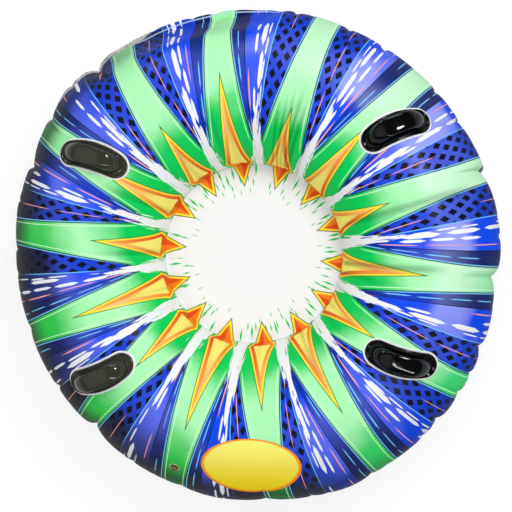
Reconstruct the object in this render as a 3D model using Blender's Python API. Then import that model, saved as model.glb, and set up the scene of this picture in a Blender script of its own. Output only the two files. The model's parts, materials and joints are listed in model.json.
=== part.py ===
"""Inflatable round snow tube: two welded vinyl sheets, four grab handles and an air valve.

Metres, +Z up. The origin lies on the ground under the middle of the ring. Seen from above, +X is
the rider's right and +Y is the way the sled is pulled.
"""
import math

import bmesh
import bpy
from mathutils import Matrix, Vector
from mathutils.bvhtree import BVHTree

# Welded ring, inflated
INNER_WELD_RADIUS = 0.168
OUTER_WELD_RADIUS = 0.452
TUBE_HALF_HEIGHT = 0.141
FOOT_FLATTENING = 0.003
WELD_LIP = 0.008
SHEET_WALL = 0.00075
CLEARANCE = 0.0003

# Gathers in the outer weld, where a flat disc has to become a smaller ring
GATHERS = 24
GATHER_DEPTH = 0.008
GATHER_VARIATION = 0.25
GATHER_RHYTHM = 2.4
GATHER_START = math.radians(52.0)

# Grab handles: a kidney flange that follows the skin, and an arched grip over it. The inflated
# film carries each at its own slope below the crown.
HANDLE_BEARING = math.radians(36.0)
FRONT_RIGHT_SLOPE = math.radians(18.4)
FRONT_LEFT_SLOPE = math.radians(6.4)
REAR_LEFT_SLOPE = math.radians(11.9)
REAR_RIGHT_SLOPE = math.radians(11.0)
HANDLE_TURN = math.radians(19.5)
HANDLE_LENGTH = 0.130
HANDLE_END_RADIUS = 0.023
HANDLE_BACK = 0.0305
HANDLE_BELLY = 0.0205
FLANGE_WALL = 0.0022
FLANGE_BEAD_WIDTH = 0.003
FLANGE_BEAD_RISE = 0.0012
GRIP_WIDTH = 0.034
GRIP_THICKNESS = 0.009
GRIP_DISH = 0.0012
GRIP_INSET = 0.015
GRIP_ROUNDING_START = 0.66
GRIP_ROUNDING = 0.70
GRIP_CORNER_POWER = 0.7
GRIP_ARCH_POWER = 0.8
FINGER_GAP = 0.019
PATCH_WALL = 0.0008
PATCH_MARGIN = 0.0045

# Air valve
VALVE_BEARING = math.radians(-112.2)
VALVE_SLOPE = math.radians(45.0)
VALVE_FLANGE_RADIUS = 0.016
VALVE_FLANGE_WALL = 0.001
VALVE_RING_RADIUS = 0.0104
VALVE_RING_WIDTH = 0.0019
VALVE_RING_RISE = 0.0008
SLEEVE_WALL = 0.0015
SLEEVE_DEPTH = 0.010
STEM_RADIUS = 0.006
STEM_BORE_RADIUS = 0.004
STEM_TRAVEL = 0.012
COLLAR_RADIUS = 0.0076
COLLAR_WALL = 0.0019
STOP_RADIUS = 0.0072
STOP_WALL = 0.0012
PLUG_HEAD_RADIUS = 0.0066
PLUG_HEAD_WALL = 0.0016
PLUG_HEAD_CHAMFER = 0.0004
PLUG_PIN_LENGTH = 0.0045
PLUG_HINGE_WIDTH = 0.004
PLUG_HINGE_WALL = 0.0008
THUMB_TAB_LENGTH = 0.003
THUMB_TAB_WIDTH = 0.005
FLAP_WALL = 0.0006
FLAP_OVERLAP = 0.0012
FLAP_HINGE_WIDTH = 0.0035
HINGE_EDGE = 0.0002

# Facets
COLUMNS_PER_GATHER = 3
FOLD_COLUMN = 1
TOP_ROWS = 14
FOOT_SIDE_ROWS = 6
ROUND_STEPS = 24
KIDNEY_ARC_STEPS = 9
KIDNEY_END_STEPS = 8
GRIP_STATIONS = 16
GRIP_SIDES = 12
SMOOTH_BELOW = math.radians(35.0)

COLUMNS = COLUMNS_PER_GATHER * GATHERS
RING_RADIUS = (INNER_WELD_RADIUS + OUTER_WELD_RADIUS) / 2
TUBE_HALF_WIDTH = (OUTER_WELD_RADIUS - INNER_WELD_RADIUS) / 2
WELD_HEIGHT = TUBE_HALF_HEIGHT - FOOT_FLATTENING + SHEET_WALL + CLEARANCE / 2
PATCH_LOW = SHEET_WALL + CLEARANCE
FLANGE_LOW = PATCH_LOW + PATCH_WALL + CLEARANCE
FLANGE_TOP = FLANGE_LOW + FLANGE_WALL

VINYL_PRINT = ("printed vinyl", (0.10, 0.38, 0.62), 0.38)
VINYL_BASE = ("dark vinyl", (0.015, 0.03, 0.10), 0.45)
VINYL_PATCH = ("white vinyl patch", (0.85, 0.87, 0.86), 0.40)
BLACK_MOULDING = ("glossy black vinyl", (0.012, 0.012, 0.012), 0.14)
CLEAR_VINYL = ("clear vinyl", (0.62, 0.74, 0.68), 0.20)


def clear_scene():
    """Remove every object, mesh and material that the file holds."""
    for item in list(bpy.data.objects):
        bpy.data.objects.remove(item, do_unlink=True)
    for block in (bpy.data.meshes, bpy.data.materials):
        for item in list(block):
            block.remove(item)


def material(name, finish):
    """A plain Principled material for one sub-part."""
    label, colour, roughness = finish
    result = bpy.data.materials.new(f"{name} {label}")
    result.use_nodes = True
    shader = result.node_tree.nodes["Principled BSDF"]
    shader.inputs["Base Color"].default_value = (*colour, 1.0)
    shader.inputs["Roughness"].default_value = roughness
    shader.inputs["Metallic"].default_value = 0.0
    return result


def as_object(mesh, name, finish=None, frame=None):
    """Turn a bmesh into an object, in the given frame."""
    bmesh.ops.recalc_face_normals(mesh, faces=mesh.faces)
    data = bpy.data.meshes.new(name)
    mesh.to_mesh(data)
    mesh.free()
    result = bpy.data.objects.new(name, data)
    bpy.context.scene.collection.objects.link(result)
    if finish:
        data.materials.append(material(name, finish))
    if frame:
        result.matrix_world = frame
    return result


def put_in_order(mesh):
    """Sort a mesh's corners and faces, whose order a Boolean leaves open, so builds are alike."""
    places = [tuple(corner.co) for corner in mesh.vertices]
    order = sorted(range(len(places)), key=places.__getitem__)
    rank = {old: new for new, old in enumerate(order)}
    faces = []
    for face in mesh.polygons:
        corners = [rank[index] for index in face.vertices]
        first = corners.index(min(corners))
        faces.append(corners[first:] + corners[:first])
    mesh.clear_geometry()
    mesh.from_pydata([places[index] for index in order], [], sorted(faces))


def combine(target, tool, operation):
    """Boolean the target with a tool, keep the result and drop the tool."""
    modifier = target.modifiers.new(operation.title(), "BOOLEAN")
    modifier.operation = operation
    modifier.solver = "EXACT"
    modifier.object = tool
    tool.hide_render = True
    tool.display_type = "WIRE"
    bpy.context.view_layer.update()
    evaluated = target.evaluated_get(bpy.context.evaluated_depsgraph_get())
    result = bpy.data.meshes.new_from_object(evaluated)
    put_in_order(result)
    target.modifiers.clear()
    target.data = result
    bpy.data.objects.remove(tool, do_unlink=True)
    return target


def shade(target):
    """Smooth shading with sharp edges kept."""
    target.data.shade_smooth()
    target.data.set_sharp_from_angle(angle=SMOOTH_BELOW)
    return target


# The sheets


def top_angles():
    """Angles from the crown of the printed sheet's rows, inner weld to outer weld."""
    return [math.pi * (step / TOP_ROWS - 0.5) for step in range(TOP_ROWS + 1)]


def base_angles():
    """Angles of the underside's rows, with two of them on the edges of the flat foot."""
    foot = math.acos(1.0 - FOOT_FLATTENING / TUBE_HALF_HEIGHT)
    slope = math.pi / 2 - foot
    side = [-math.pi / 2 + slope * step / FOOT_SIDE_ROWS for step in range(FOOT_SIDE_ROWS + 1)]
    return side + [-angle for angle in reversed(side)]


def section(angles, flattening=0.0):
    """Weld-side face of a sheet as (angle, radius, height) rows, from the middle to the lip."""
    highest = TUBE_HALF_HEIGHT - flattening
    rows = [(-math.pi / 2, 0.0, 0.0)]
    for angle in angles:
        height = min(TUBE_HALF_HEIGHT * math.cos(angle), highest)
        rows.append((angle, RING_RADIUS + TUBE_HALF_WIDTH * math.sin(angle), height))
    rows.append((math.pi / 2, OUTER_WELD_RADIUS + WELD_LIP, 0.0))
    return rows


def offset(rows, distance):
    """Move a section away from the air side by a distance, with mitred corners."""
    points = [Vector((radius, height)) for _, radius, height in rows]
    normals = []
    for start, end in zip(points, points[1:]):
        along = (end - start).normalized()
        normals.append(Vector((-along.y, along.x)))
    moved = []
    for index, (angle, _, _) in enumerate(rows):
        before = normals[max(index - 1, 0)]
        after = normals[min(index, len(normals) - 1)]
        mitre = (before + after) / (1.0 + before.dot(after))
        place = points[index] + mitre * distance
        moved.append((angle, place.x, place.y))
    return moved


def gather_shift(angle, column):
    """How far a gather pulls the sheet in, at one row and column."""
    if column % COLUMNS_PER_GATHER != FOLD_COLUMN or angle <= GATHER_START:
        return 0.0
    reach = (angle - GATHER_START) / (math.pi / 2 - GATHER_START)
    swing = math.cos(GATHER_RHYTHM * (column // COLUMNS_PER_GATHER))
    depth = GATHER_DEPTH * (1.0 - GATHER_VARIATION + GATHER_VARIATION * swing)
    return depth * reach * reach * (3.0 - 2.0 * reach)


def bearing(column):
    """Direction of a column of facets, seen from above."""
    return math.tau * (column + 0.5) / COLUMNS


def skin_grid(mesh, rows, columns, side):
    """Vertices of one face of the skin, row by row."""
    grid = []
    for angle, radius, height in rows:
        z = WELD_HEIGHT + side * (CLEARANCE / 2 + height)
        if radius < CLEARANCE:
            middle = mesh.verts.new((0.0, 0.0, z))
            grid.append([middle] * len(columns))
            continue
        line = []
        for column in columns:
            reach = radius - gather_shift(angle, column)
            turn = bearing(column)
            line.append(mesh.verts.new((reach * math.cos(turn), reach * math.sin(turn), z)))
        grid.append(line)
    return grid


def add_face(mesh, corners):
    """A face through the corners, less any that coincide."""
    distinct = list(dict.fromkeys(corners))
    if len(distinct) > 2:
        mesh.faces.new(distinct)


def add_skin(mesh, grid, columns, closed):
    """Triangles of one face of the skin, split alike on every face and mirrored at a gather."""
    for lower, upper in zip(grid, grid[1:]):
        for step in range(len(columns) if closed else len(columns) - 1):
            following = (step + 1) % len(columns)
            a, b = lower[step], upper[step]
            d, c = lower[following], upper[following]
            if columns[step] % COLUMNS_PER_GATHER == FOLD_COLUMN:
                add_face(mesh, (a, b, d))
                add_face(mesh, (b, c, d))
            else:
                add_face(mesh, (a, b, c))
                add_face(mesh, (a, c, d))


def add_edge_band(mesh, low_line, high_line, closed):
    """Close the gap between the edges of the two faces."""
    count = len(low_line)
    for step in range(count if closed else count - 1):
        following = (step + 1) % count
        add_face(mesh, (low_line[step], low_line[following], high_line[step]))
        add_face(mesh, (low_line[following], high_line[following], high_line[step]))


def skin_layer(rows, low, high, columns=None, side=1):
    """Solid between two offsets of a sheet's section, all round or over some columns."""
    closed = columns is None
    columns = list(range(COLUMNS)) if closed else columns
    mesh = bmesh.new()
    low_grid = skin_grid(mesh, offset(rows, low), columns, side)
    high_grid = skin_grid(mesh, offset(rows, high), columns, side)
    add_skin(mesh, low_grid, columns, closed)
    add_skin(mesh, high_grid, columns, closed)
    add_edge_band(mesh, low_grid[-1], high_grid[-1], closed)
    if not closed:
        add_edge_band(mesh, low_grid[0], high_grid[0], closed)
        for edge in (0, -1):
            low_side = [line[edge] for line in low_grid]
            high_side = [line[edge] for line in high_grid]
            add_edge_band(mesh, low_side, high_side, closed)
    return mesh


def window(around, slope, reach, low, high):
    """Piece of skin layer round one fitting, on the same facets as the printed sheet."""
    along = reach / TUBE_HALF_WIDTH + math.pi / TOP_ROWS
    across = reach / (RING_RADIUS + TUBE_HALF_WIDTH * math.sin(slope - along)) + math.tau / COLUMNS
    rows = [row for row in section(top_angles())[1:-1] if abs(row[0] - slope) < along]
    middle = round(around / math.tau * COLUMNS - 0.5)
    spread = math.ceil(across / math.tau * COLUMNS)
    columns = [column % COLUMNS for column in range(middle - spread, middle + spread + 1)]
    return as_object(skin_layer(rows, low, high, columns), "window")


def build_sheets():
    """The printed top sheet and the plain base sheet, welded at the well and at the rim."""
    top = as_object(skin_layer(section(top_angles()), 0.0, SHEET_WALL), "top_sheet", VINYL_PRINT)
    rows = section(base_angles(), FOOT_FLATTENING)
    base = as_object(skin_layer(rows, 0.0, SHEET_WALL, side=-1), "base_sheet", VINYL_BASE)
    return top, base


def seat_frame(sheet, around, slope, turn):
    """Frame on the outer face of the top sheet: X along the turn, Y to its left and Z out."""
    out = Vector((math.cos(around), math.sin(around), 0.0))
    up = Vector((0.0, 0.0, 1.0))
    normal = out * math.sin(slope) + up * math.cos(slope)
    downhill = out * math.cos(slope) - up * math.sin(slope)
    sideways = normal.cross(downhill)
    x_axis = downhill * math.cos(turn) + sideways * math.sin(turn)
    tree = BVHTree.FromObject(sheet, bpy.context.evaluated_depsgraph_get())
    core = out * RING_RADIUS + up * WELD_HEIGHT
    place = tree.ray_cast(core + normal * TUBE_HALF_WIDTH * 2, -normal)[0]
    frame = Matrix((x_axis, normal.cross(x_axis), normal)).transposed().to_4x4()
    frame.translation = place
    return frame


# Handles


def arc(centre, radius, start, end, steps):
    """Points on an arc, the last one left out."""
    points = []
    for step in range(steps):
        angle = start + (end - start) * step / steps
        points.append((centre[0] + radius * math.cos(angle), centre[1] + radius * math.sin(angle)))
    return points


def kidney(margin=0.0):
    """Kidney outline of four arcs, back at +Y and belly at -Y, grown by a margin."""
    reach = HANDLE_LENGTH / 2 - HANDLE_END_RADIUS
    end = HANDLE_END_RADIUS + margin
    back = HANDLE_BACK + margin
    belly = HANDLE_BELLY + margin
    back_radius = (reach ** 2 + back ** 2 - end ** 2) / (2 * (back - end))
    belly_radius = (reach ** 2 + belly ** 2 - end ** 2) / (2 * (end - belly))
    back_lean = math.asin(reach / (back_radius - end))
    belly_lean = math.asin(reach / (belly_radius + end))
    quarter = math.pi / 2
    points = arc((0.0, back - back_radius), back_radius, quarter - back_lean,
                 quarter + back_lean, KIDNEY_ARC_STEPS)
    points += arc((-reach, 0.0), end, quarter + back_lean,
                  3 * quarter + belly_lean, KIDNEY_END_STEPS)
    points += arc((0.0, -belly - belly_radius), belly_radius, quarter + belly_lean,
                  quarter - belly_lean, KIDNEY_ARC_STEPS)
    points += arc((reach, 0.0), end, -quarter - belly_lean,
                  quarter - back_lean, KIDNEY_END_STEPS)
    return points


def prism(outline, low, high, frame):
    """Extrude an outline of the frame's XY plane from one height to another."""
    mesh = bmesh.new()
    face = mesh.faces.new([mesh.verts.new((x, y, low)) for x, y in outline])
    made = bmesh.ops.extrude_face_region(mesh, geom=[face])
    risen = [item for item in made["geom"] if isinstance(item, bmesh.types.BMVert)]
    bmesh.ops.translate(mesh, verts=risen, vec=(0.0, 0.0, high - low))
    return as_object(mesh, "prism", frame=frame)


def grip_outline(width, thickness):
    """Section of the grip: rounded, with a shallow dish along its top."""
    points = []
    for side in range(GRIP_SIDES):
        angle = math.tau * (side + 0.5) / GRIP_SIDES
        across, rise = math.cos(angle), math.sin(angle)
        x = width / 2 * math.copysign(abs(across) ** GRIP_CORNER_POWER, across)
        z = thickness / 2 * math.copysign(abs(rise) ** GRIP_CORNER_POWER, rise)
        if rise > 0.0:
            z -= GRIP_DISH * (1.0 - (2.0 * x / width) ** 2)
        points.append((x, z))
    return points


def grip_width(place):
    """Width of the grip at a station: full over its middle and rounded off towards its feet."""
    share = abs(place.x) / (HANDLE_LENGTH / 2 - GRIP_INSET)
    past = max(share - GRIP_ROUNDING_START, 0.0) / (1.0 - GRIP_ROUNDING_START)
    return GRIP_WIDTH * math.sqrt(1.0 - (GRIP_ROUNDING * past) ** 2)


def grip_station(step):
    """Middle of the arched grip at one station, in the handle's frame."""
    half_span = HANDLE_LENGTH / 2 - GRIP_INSET
    drop = TUBE_HALF_WIDTH - math.sqrt(TUBE_HALF_WIDTH ** 2 - half_span ** 2)
    foot = -drop - SHEET_WALL
    crest = FLANGE_TOP - SHEET_WALL + FINGER_GAP + GRIP_THICKNESS / 2
    angle = math.pi * step / GRIP_STATIONS
    lengthwise = math.copysign(abs(math.cos(angle)) ** GRIP_ARCH_POWER, math.cos(angle))
    x = half_span * lengthwise
    z = foot + (crest - foot) * math.sin(angle) ** GRIP_ARCH_POWER
    bow = (HANDLE_BACK - HANDLE_BELLY) / 2
    y = bow * (1.0 - (2.0 * x / HANDLE_LENGTH) ** 2)
    return Vector((x, y, z))


def grip(frame):
    """The arched grip: its rounded section swept from one foot to the other."""
    stations = [grip_station(step) for step in range(GRIP_STATIONS + 1)]
    mesh = bmesh.new()
    rings = []
    for index, place in enumerate(stations):
        before = stations[max(index - 1, 0)]
        after = stations[min(index + 1, GRIP_STATIONS)]
        along = (before - after).normalized()
        if index in (0, GRIP_STATIONS):
            along = Vector((0.0, 0.0, 1.0 if index else -1.0))
        across = (Vector((0.0, 1.0, 0.0)) - along * along.y).normalized()
        outward = across.cross(along).normalized()
        ring = []
        for x, z in grip_outline(grip_width(place), GRIP_THICKNESS):
            ring.append(mesh.verts.new(place + across * x + outward * z))
        rings.append(ring)
    for first, second in zip(rings, rings[1:]):
        for side in range(GRIP_SIDES):
            following = (side + 1) % GRIP_SIDES
            mesh.faces.new((first[side], first[following], second[following], second[side]))
    mesh.faces.new(rings[0])
    mesh.faces.new(rings[-1])
    return as_object(mesh, "grip", frame=frame)


def weld_slivers(target):
    """Merge corners that a Boolean left closer than a fraction of the clearance."""
    mesh = bmesh.new()
    mesh.from_mesh(target.data)
    bmesh.ops.remove_doubles(mesh, verts=mesh.verts, dist=CLEARANCE / 10)
    bmesh.ops.dissolve_degenerate(mesh, edges=mesh.edges, dist=CLEARANCE / 10)
    mesh.to_mesh(target.data)
    mesh.free()


def build_handle(name, sheet, around, slope, turn):
    """One white patch and the black moulding that is welded on it."""
    frame = seat_frame(sheet, around, slope, turn)
    high = HANDLE_LENGTH / 2

    def layer_under(low, top):
        """Layer of skin as wide as the patch, between two heights over the air side."""
        return window(around, slope, high + PATCH_MARGIN, low, top)

    patch = prism(kidney(PATCH_MARGIN), -high, high, frame)
    combine(patch, layer_under(PATCH_LOW, PATCH_LOW + PATCH_WALL), "INTERSECT")
    handle = prism(kidney(), -high, high, frame)
    combine(handle, layer_under(FLANGE_LOW, FLANGE_TOP + FLANGE_BEAD_RISE), "INTERSECT")
    pan = prism(kidney(-FLANGE_BEAD_WIDTH), -high, high, frame)
    combine(pan, layer_under(FLANGE_TOP, FLANGE_TOP + high), "INTERSECT")
    combine(handle, pan, "DIFFERENCE")
    arch = grip(frame)
    combine(arch, layer_under(FLANGE_LOW + FLANGE_WALL / 2, FLANGE_TOP + high), "INTERSECT")
    combine(handle, arch, "UNION")
    finish_fitting(patch, f"handle_patch_{name}", VINYL_PATCH)
    finish_fitting(handle, f"handle_{name}", BLACK_MOULDING)


def finish_fitting(target, name, finish):
    """Name a combined piece and give it its material."""
    target.name = name
    target.data.name = name
    target.data.materials.clear()
    target.data.materials.append(material(name, finish))
    weld_slivers(target)
    shade(target)


def build_handles(sheet):
    """Four handles, two to each side, backs away from the rider."""
    for name, right, ahead, slope in (("front_right", 1, 1, FRONT_RIGHT_SLOPE),
                                      ("front_left", -1, 1, FRONT_LEFT_SLOPE),
                                      ("rear_left", -1, -1, REAR_LEFT_SLOPE),
                                      ("rear_right", 1, -1, REAR_RIGHT_SLOPE)):
        around = HANDLE_BEARING if right > 0 else math.pi - HANDLE_BEARING
        heading = HANDLE_TURN * right
        if ahead < 0:
            around = -around
            heading = math.pi - heading
        build_handle(name, sheet, around, slope, heading - around)


# Air valve


def turned(profile, name, frame, finish=None):
    """Turn a closed profile of (radius, height) points about the frame's Z axis."""
    mesh = bmesh.new()
    points = [mesh.verts.new((radius, 0.0, height)) for radius, height in profile]
    edges = [mesh.edges.new((a, b)) for a, b in zip(points, points[1:] + points[:1])]
    bmesh.ops.spin(mesh, geom=points + edges, cent=(0.0, 0.0, 0.0), axis=(0.0, 0.0, 1.0),
                   angle=math.tau, steps=ROUND_STEPS, use_merge=True)
    bmesh.ops.remove_doubles(mesh, verts=mesh.verts, dist=CLEARANCE / 10)
    return as_object(mesh, name, finish, frame)


def block(length, width, low, high, start, frame):
    """A small flat tab in the frame's XZ plane, from a start along +X."""
    outline = [(start, -width / 2), (start + length, -width / 2),
               (start + length, width / 2), (start, width / 2)]
    return prism(outline, low, high, frame)


def circle(radius):
    """Outline of a full circle."""
    return arc((0.0, 0.0), radius, 0.0, math.tau, ROUND_STEPS)


def build_valve_base(frame):
    """Flange welded under the sheet, raised ring round the hole and sleeve for the stem."""
    flange_high = -CLEARANCE
    flange_low = flange_high - VALVE_FLANGE_WALL
    deep = VALVE_FLANGE_RADIUS
    base = prism(circle(VALVE_FLANGE_RADIUS), -deep, deep, frame)
    layer = window(VALVE_BEARING, VALVE_SLOPE, VALVE_FLANGE_RADIUS, flange_low, flange_high)
    combine(base, layer, "INTERSECT")
    bore = STEM_RADIUS + CLEARANCE
    combine(base, prism(circle(bore + SLEEVE_WALL / 2), -deep, deep, frame), "DIFFERENCE")
    root = -SHEET_WALL - VALVE_FLANGE_WALL
    dish = VALVE_RING_RADIUS - VALVE_RING_WIDTH
    sleeve = turned([(bore, -SLEEVE_DEPTH), (bore + SLEEVE_WALL, -SLEEVE_DEPTH),
                     (bore + SLEEVE_WALL, root - SLEEVE_WALL), (VALVE_RING_RADIUS, root),
                     (VALVE_RING_RADIUS, VALVE_RING_RISE), (dish, VALVE_RING_RISE),
                     (dish, 0.0), (bore, 0.0)], "sleeve", frame)
    combine(base, sleeve, "UNION")
    finish_fitting(base, "valve_base", CLEAR_VINYL)


def build_stem(frame):
    """Stem that is pulled out to inflate and pushed in to ride, with its collar and its stop."""
    seat = CLEARANCE
    stop_top = -SLEEVE_DEPTH - STEM_TRAVEL - CLEARANCE
    stop_low = stop_top - STOP_WALL
    stem = turned([(STEM_BORE_RADIUS, stop_low), (STOP_RADIUS, stop_low), (STOP_RADIUS, stop_top),
                   (STEM_RADIUS, stop_top), (STEM_RADIUS, seat), (COLLAR_RADIUS, seat),
                   (COLLAR_RADIUS, seat + COLLAR_WALL), (STEM_BORE_RADIUS, seat + COLLAR_WALL)],
                  "valve_stem", frame, CLEAR_VINYL)
    shade(stem)
    return seat + COLLAR_WALL, stop_low


def hinge_frame(frame, reach, height):
    """Frame on a hinge line of the valve, uphill of its axis."""
    return frame @ Matrix.Translation((-reach, 0.0, height))


def pin_end_radius(hinge_reach, pin):
    """Radius of the pin's lower end at which the pin swings out of its bore without touching it."""
    return math.sqrt((hinge_reach + pin) ** 2 - PLUG_PIN_LENGTH ** 2) - hinge_reach


def build_plug(frame, rim):
    """Plug on the stem's rim: tapered pin, round head, thin hinge and thumb tab."""
    hinge_reach = COLLAR_RADIUS - HINGE_EDGE
    low = CLEARANCE / 2
    on_hinge = hinge_frame(frame, hinge_reach, rim + low)
    on_axis = on_hinge @ Matrix.Translation((hinge_reach, 0.0, 0.0))
    pin = STEM_BORE_RADIUS - CLEARANCE
    head_top = low + PLUG_HEAD_WALL
    plug = turned([(0.0, low - PLUG_PIN_LENGTH),
                   (pin_end_radius(hinge_reach, pin), low - PLUG_PIN_LENGTH), (pin, low),
                   (PLUG_HEAD_RADIUS, low), (PLUG_HEAD_RADIUS, head_top - PLUG_HEAD_CHAMFER),
                   (PLUG_HEAD_RADIUS - PLUG_HEAD_CHAMFER, head_top), (0.0, head_top)],
                  "valve_plug", on_axis)
    sunk = PLUG_HEAD_WALL
    hinge = block(hinge_reach - PLUG_HEAD_RADIUS + sunk - HINGE_EDGE, PLUG_HINGE_WIDTH, low,
                  low + PLUG_HINGE_WALL, HINGE_EDGE, on_hinge)
    combine(plug, hinge, "UNION")
    tab = block(THUMB_TAB_LENGTH + sunk, THUMB_TAB_WIDTH, low, low + PLUG_HINGE_WALL,
                PLUG_HEAD_RADIUS - sunk, on_axis)
    combine(plug, tab, "UNION")
    move_origin(plug, on_hinge)
    finish_fitting(plug, "valve_plug", CLEAR_VINYL)


def build_flap(frame, stem_end):
    """Flap that closes the stem's inner end against the air inside."""
    radius = STEM_BORE_RADIUS + FLAP_OVERLAP
    hinge_reach = radius + FLAP_WALL
    high = -CLEARANCE / 2
    on_hinge = hinge_frame(frame, hinge_reach, stem_end + high)
    on_axis = on_hinge @ Matrix.Translation((hinge_reach, 0.0, 0.0))
    flap = prism(circle(radius), high - FLAP_WALL, high, on_axis)
    tab = block(hinge_reach - HINGE_EDGE, FLAP_HINGE_WIDTH, high - FLAP_WALL, high,
                HINGE_EDGE, on_hinge)
    combine(flap, tab, "UNION")
    move_origin(flap, on_hinge)
    finish_fitting(flap, "valve_flap", CLEAR_VINYL)


def move_origin(target, frame):
    """Put an object's origin in a frame and leave its surface where it is."""
    target.data.transform(frame.inverted() @ target.matrix_world)
    target.matrix_world = frame


def build_valve(sheet):
    """The hole in the sheet and the four pieces of the valve."""
    frame = seat_frame(sheet, VALVE_BEARING, VALVE_SLOPE, 0.0)
    hole = circle(VALVE_RING_RADIUS + CLEARANCE)
    combine(sheet, prism(hole, -VALVE_FLANGE_RADIUS, VALVE_FLANGE_RADIUS, frame), "DIFFERENCE")
    build_valve_base(frame)
    rim, stem_end = build_stem(frame)
    build_plug(frame, rim)
    build_flap(frame, stem_end)


def build():
    """Make every piece of the sled."""
    clear_scene()
    top, base = build_sheets()
    build_handles(top)
    build_valve(top)
    shade(top)
    shade(base)


build()
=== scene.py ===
"""Dresses the snow tube: inflated printed film, gathered welds, moulded handles and an air valve.

Metres and +Z up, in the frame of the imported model. Seen from above, +X is the rider's right and +Y
is the way the sled is pulled.
"""

import json
import logging
import math
from contextlib import contextmanager
from dataclasses import dataclass
from enum import Enum
from typing import Any, Iterable, Iterator, Optional, Sequence, Union

import bmesh
import bpy
import numpy as np
from mathutils import Matrix, Quaternion, Vector
from mathutils.bvhtree import BVHTree


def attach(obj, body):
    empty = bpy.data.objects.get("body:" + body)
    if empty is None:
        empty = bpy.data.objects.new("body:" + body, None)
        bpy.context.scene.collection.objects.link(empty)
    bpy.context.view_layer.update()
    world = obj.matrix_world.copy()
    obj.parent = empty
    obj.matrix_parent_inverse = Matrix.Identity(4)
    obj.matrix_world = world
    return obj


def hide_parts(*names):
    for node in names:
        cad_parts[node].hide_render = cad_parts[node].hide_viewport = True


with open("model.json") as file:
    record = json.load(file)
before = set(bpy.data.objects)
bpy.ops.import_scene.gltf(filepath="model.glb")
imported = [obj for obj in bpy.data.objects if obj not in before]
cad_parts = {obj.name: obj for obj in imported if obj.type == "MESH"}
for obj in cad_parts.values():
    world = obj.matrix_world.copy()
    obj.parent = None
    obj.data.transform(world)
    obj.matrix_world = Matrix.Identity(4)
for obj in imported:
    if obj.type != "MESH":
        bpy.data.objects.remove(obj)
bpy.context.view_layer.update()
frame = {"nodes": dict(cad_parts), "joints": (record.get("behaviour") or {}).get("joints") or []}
LOG = logging.getLogger("snow_tube")

Point = tuple[float, float, float]
Colour = tuple[float, float, float]
Number = Union[float, "Signal"]
Socket = bpy.types.NodeSocket
Tree = bpy.types.NodeTree
Piece = bpy.types.Object

# Gap between pieces that lie or slide on each other, and the film's thickness
CLEARANCE = 0.0003
FILM = 0.00075
UP = Vector((0.0, 0.0, 1.0))


class Layer(Enum):
    """Which of the two welded sheets a surface belongs to."""

    TOP = 1
    BASE = -1


class Corner(Enum):
    """Where a handle sits: its signs along X and Y, and its slope below the crown in degrees."""

    FRONT_RIGHT = (1, 1, 18.4)
    FRONT_LEFT = (-1, 1, 6.4)
    REAR_LEFT = (-1, -1, 11.9)
    REAR_RIGHT = (1, -1, 11.0)


def printed(red: int, green: int, blue: int) -> Colour:
    """Linear colour of an ink that is named by its 8-bit screen values.

    Args:
        red: Red from 0 to 255.
        green: Green from 0 to 255.
        blue: Blue from 0 to 255.

    Returns:
        The colour in Blender's linear space.
    """
    shares = (value / 255.0 for value in (red, green, blue))
    return tuple(s / 12.92 if s <= 0.04045 else ((s + 0.055) / 1.055) ** 2.4 for s in shares)


MINT = printed(172, 250, 184)
LEAF = printed(0, 208, 92)
# RIM_GREEN is a darker copy of RIM_MINT, laid on the rim away from the key light as painted shade
RIM_GREEN = printed(36, 204, 70)
RIM_MINT = printed(40, 222, 120)
DEEP = printed(0, 44, 172)
ROYAL = printed(2, 74, 238)
FLANK_BLUE = printed(12, 62, 204)
VIOLET = printed(110, 122, 248)
# LILAC is painted sheen on the crown's blue, on the side facing the lights
LILAC = printed(150, 160, 248)
NAVY = printed(12, 26, 88)
# DUSK is painted shade over the outer blue, on the side away from the key light
DUSK = printed(32, 32, 56)
INK = printed(4, 10, 34)
# Near-black of the rim's edge: a darker print edge, deepened by painted shade away from the key light
RIM_INK_AND_SHADE = printed(36, 38, 38)
WHITE = printed(242, 244, 249)
SKY = printed(120, 205, 255)
ROSE = printed(250, 168, 150)
YELLOW = printed(255, 232, 60)
PALE_YELLOW = printed(255, 240, 120)
PALE_MINT = printed(214, 255, 214)
# PINE is painted shade on the green rim's edge away from the key light, over a faint darker print edge
PINE = printed(24, 84, 40)
KITE_RIM = printed(10, 92, 52)
KITE_BRIGHT = (printed(250, 138, 36), printed(255, 202, 120))
KITE_DEEP = (printed(236, 88, 22), printed(252, 160, 72))
OVAL = (printed(255, 226, 20), printed(255, 246, 118))
OVAL_EDGE = printed(252, 150, 30)
# The bare lip's vinyl, greyed as painted shade, with a darker grey for its streaks
BARE_VINYL_IN_SHADE = (printed(204, 206, 198), printed(116, 118, 124))
WELD_LINE = printed(196, 214, 232)


# Node trees written as arithmetic


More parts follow.
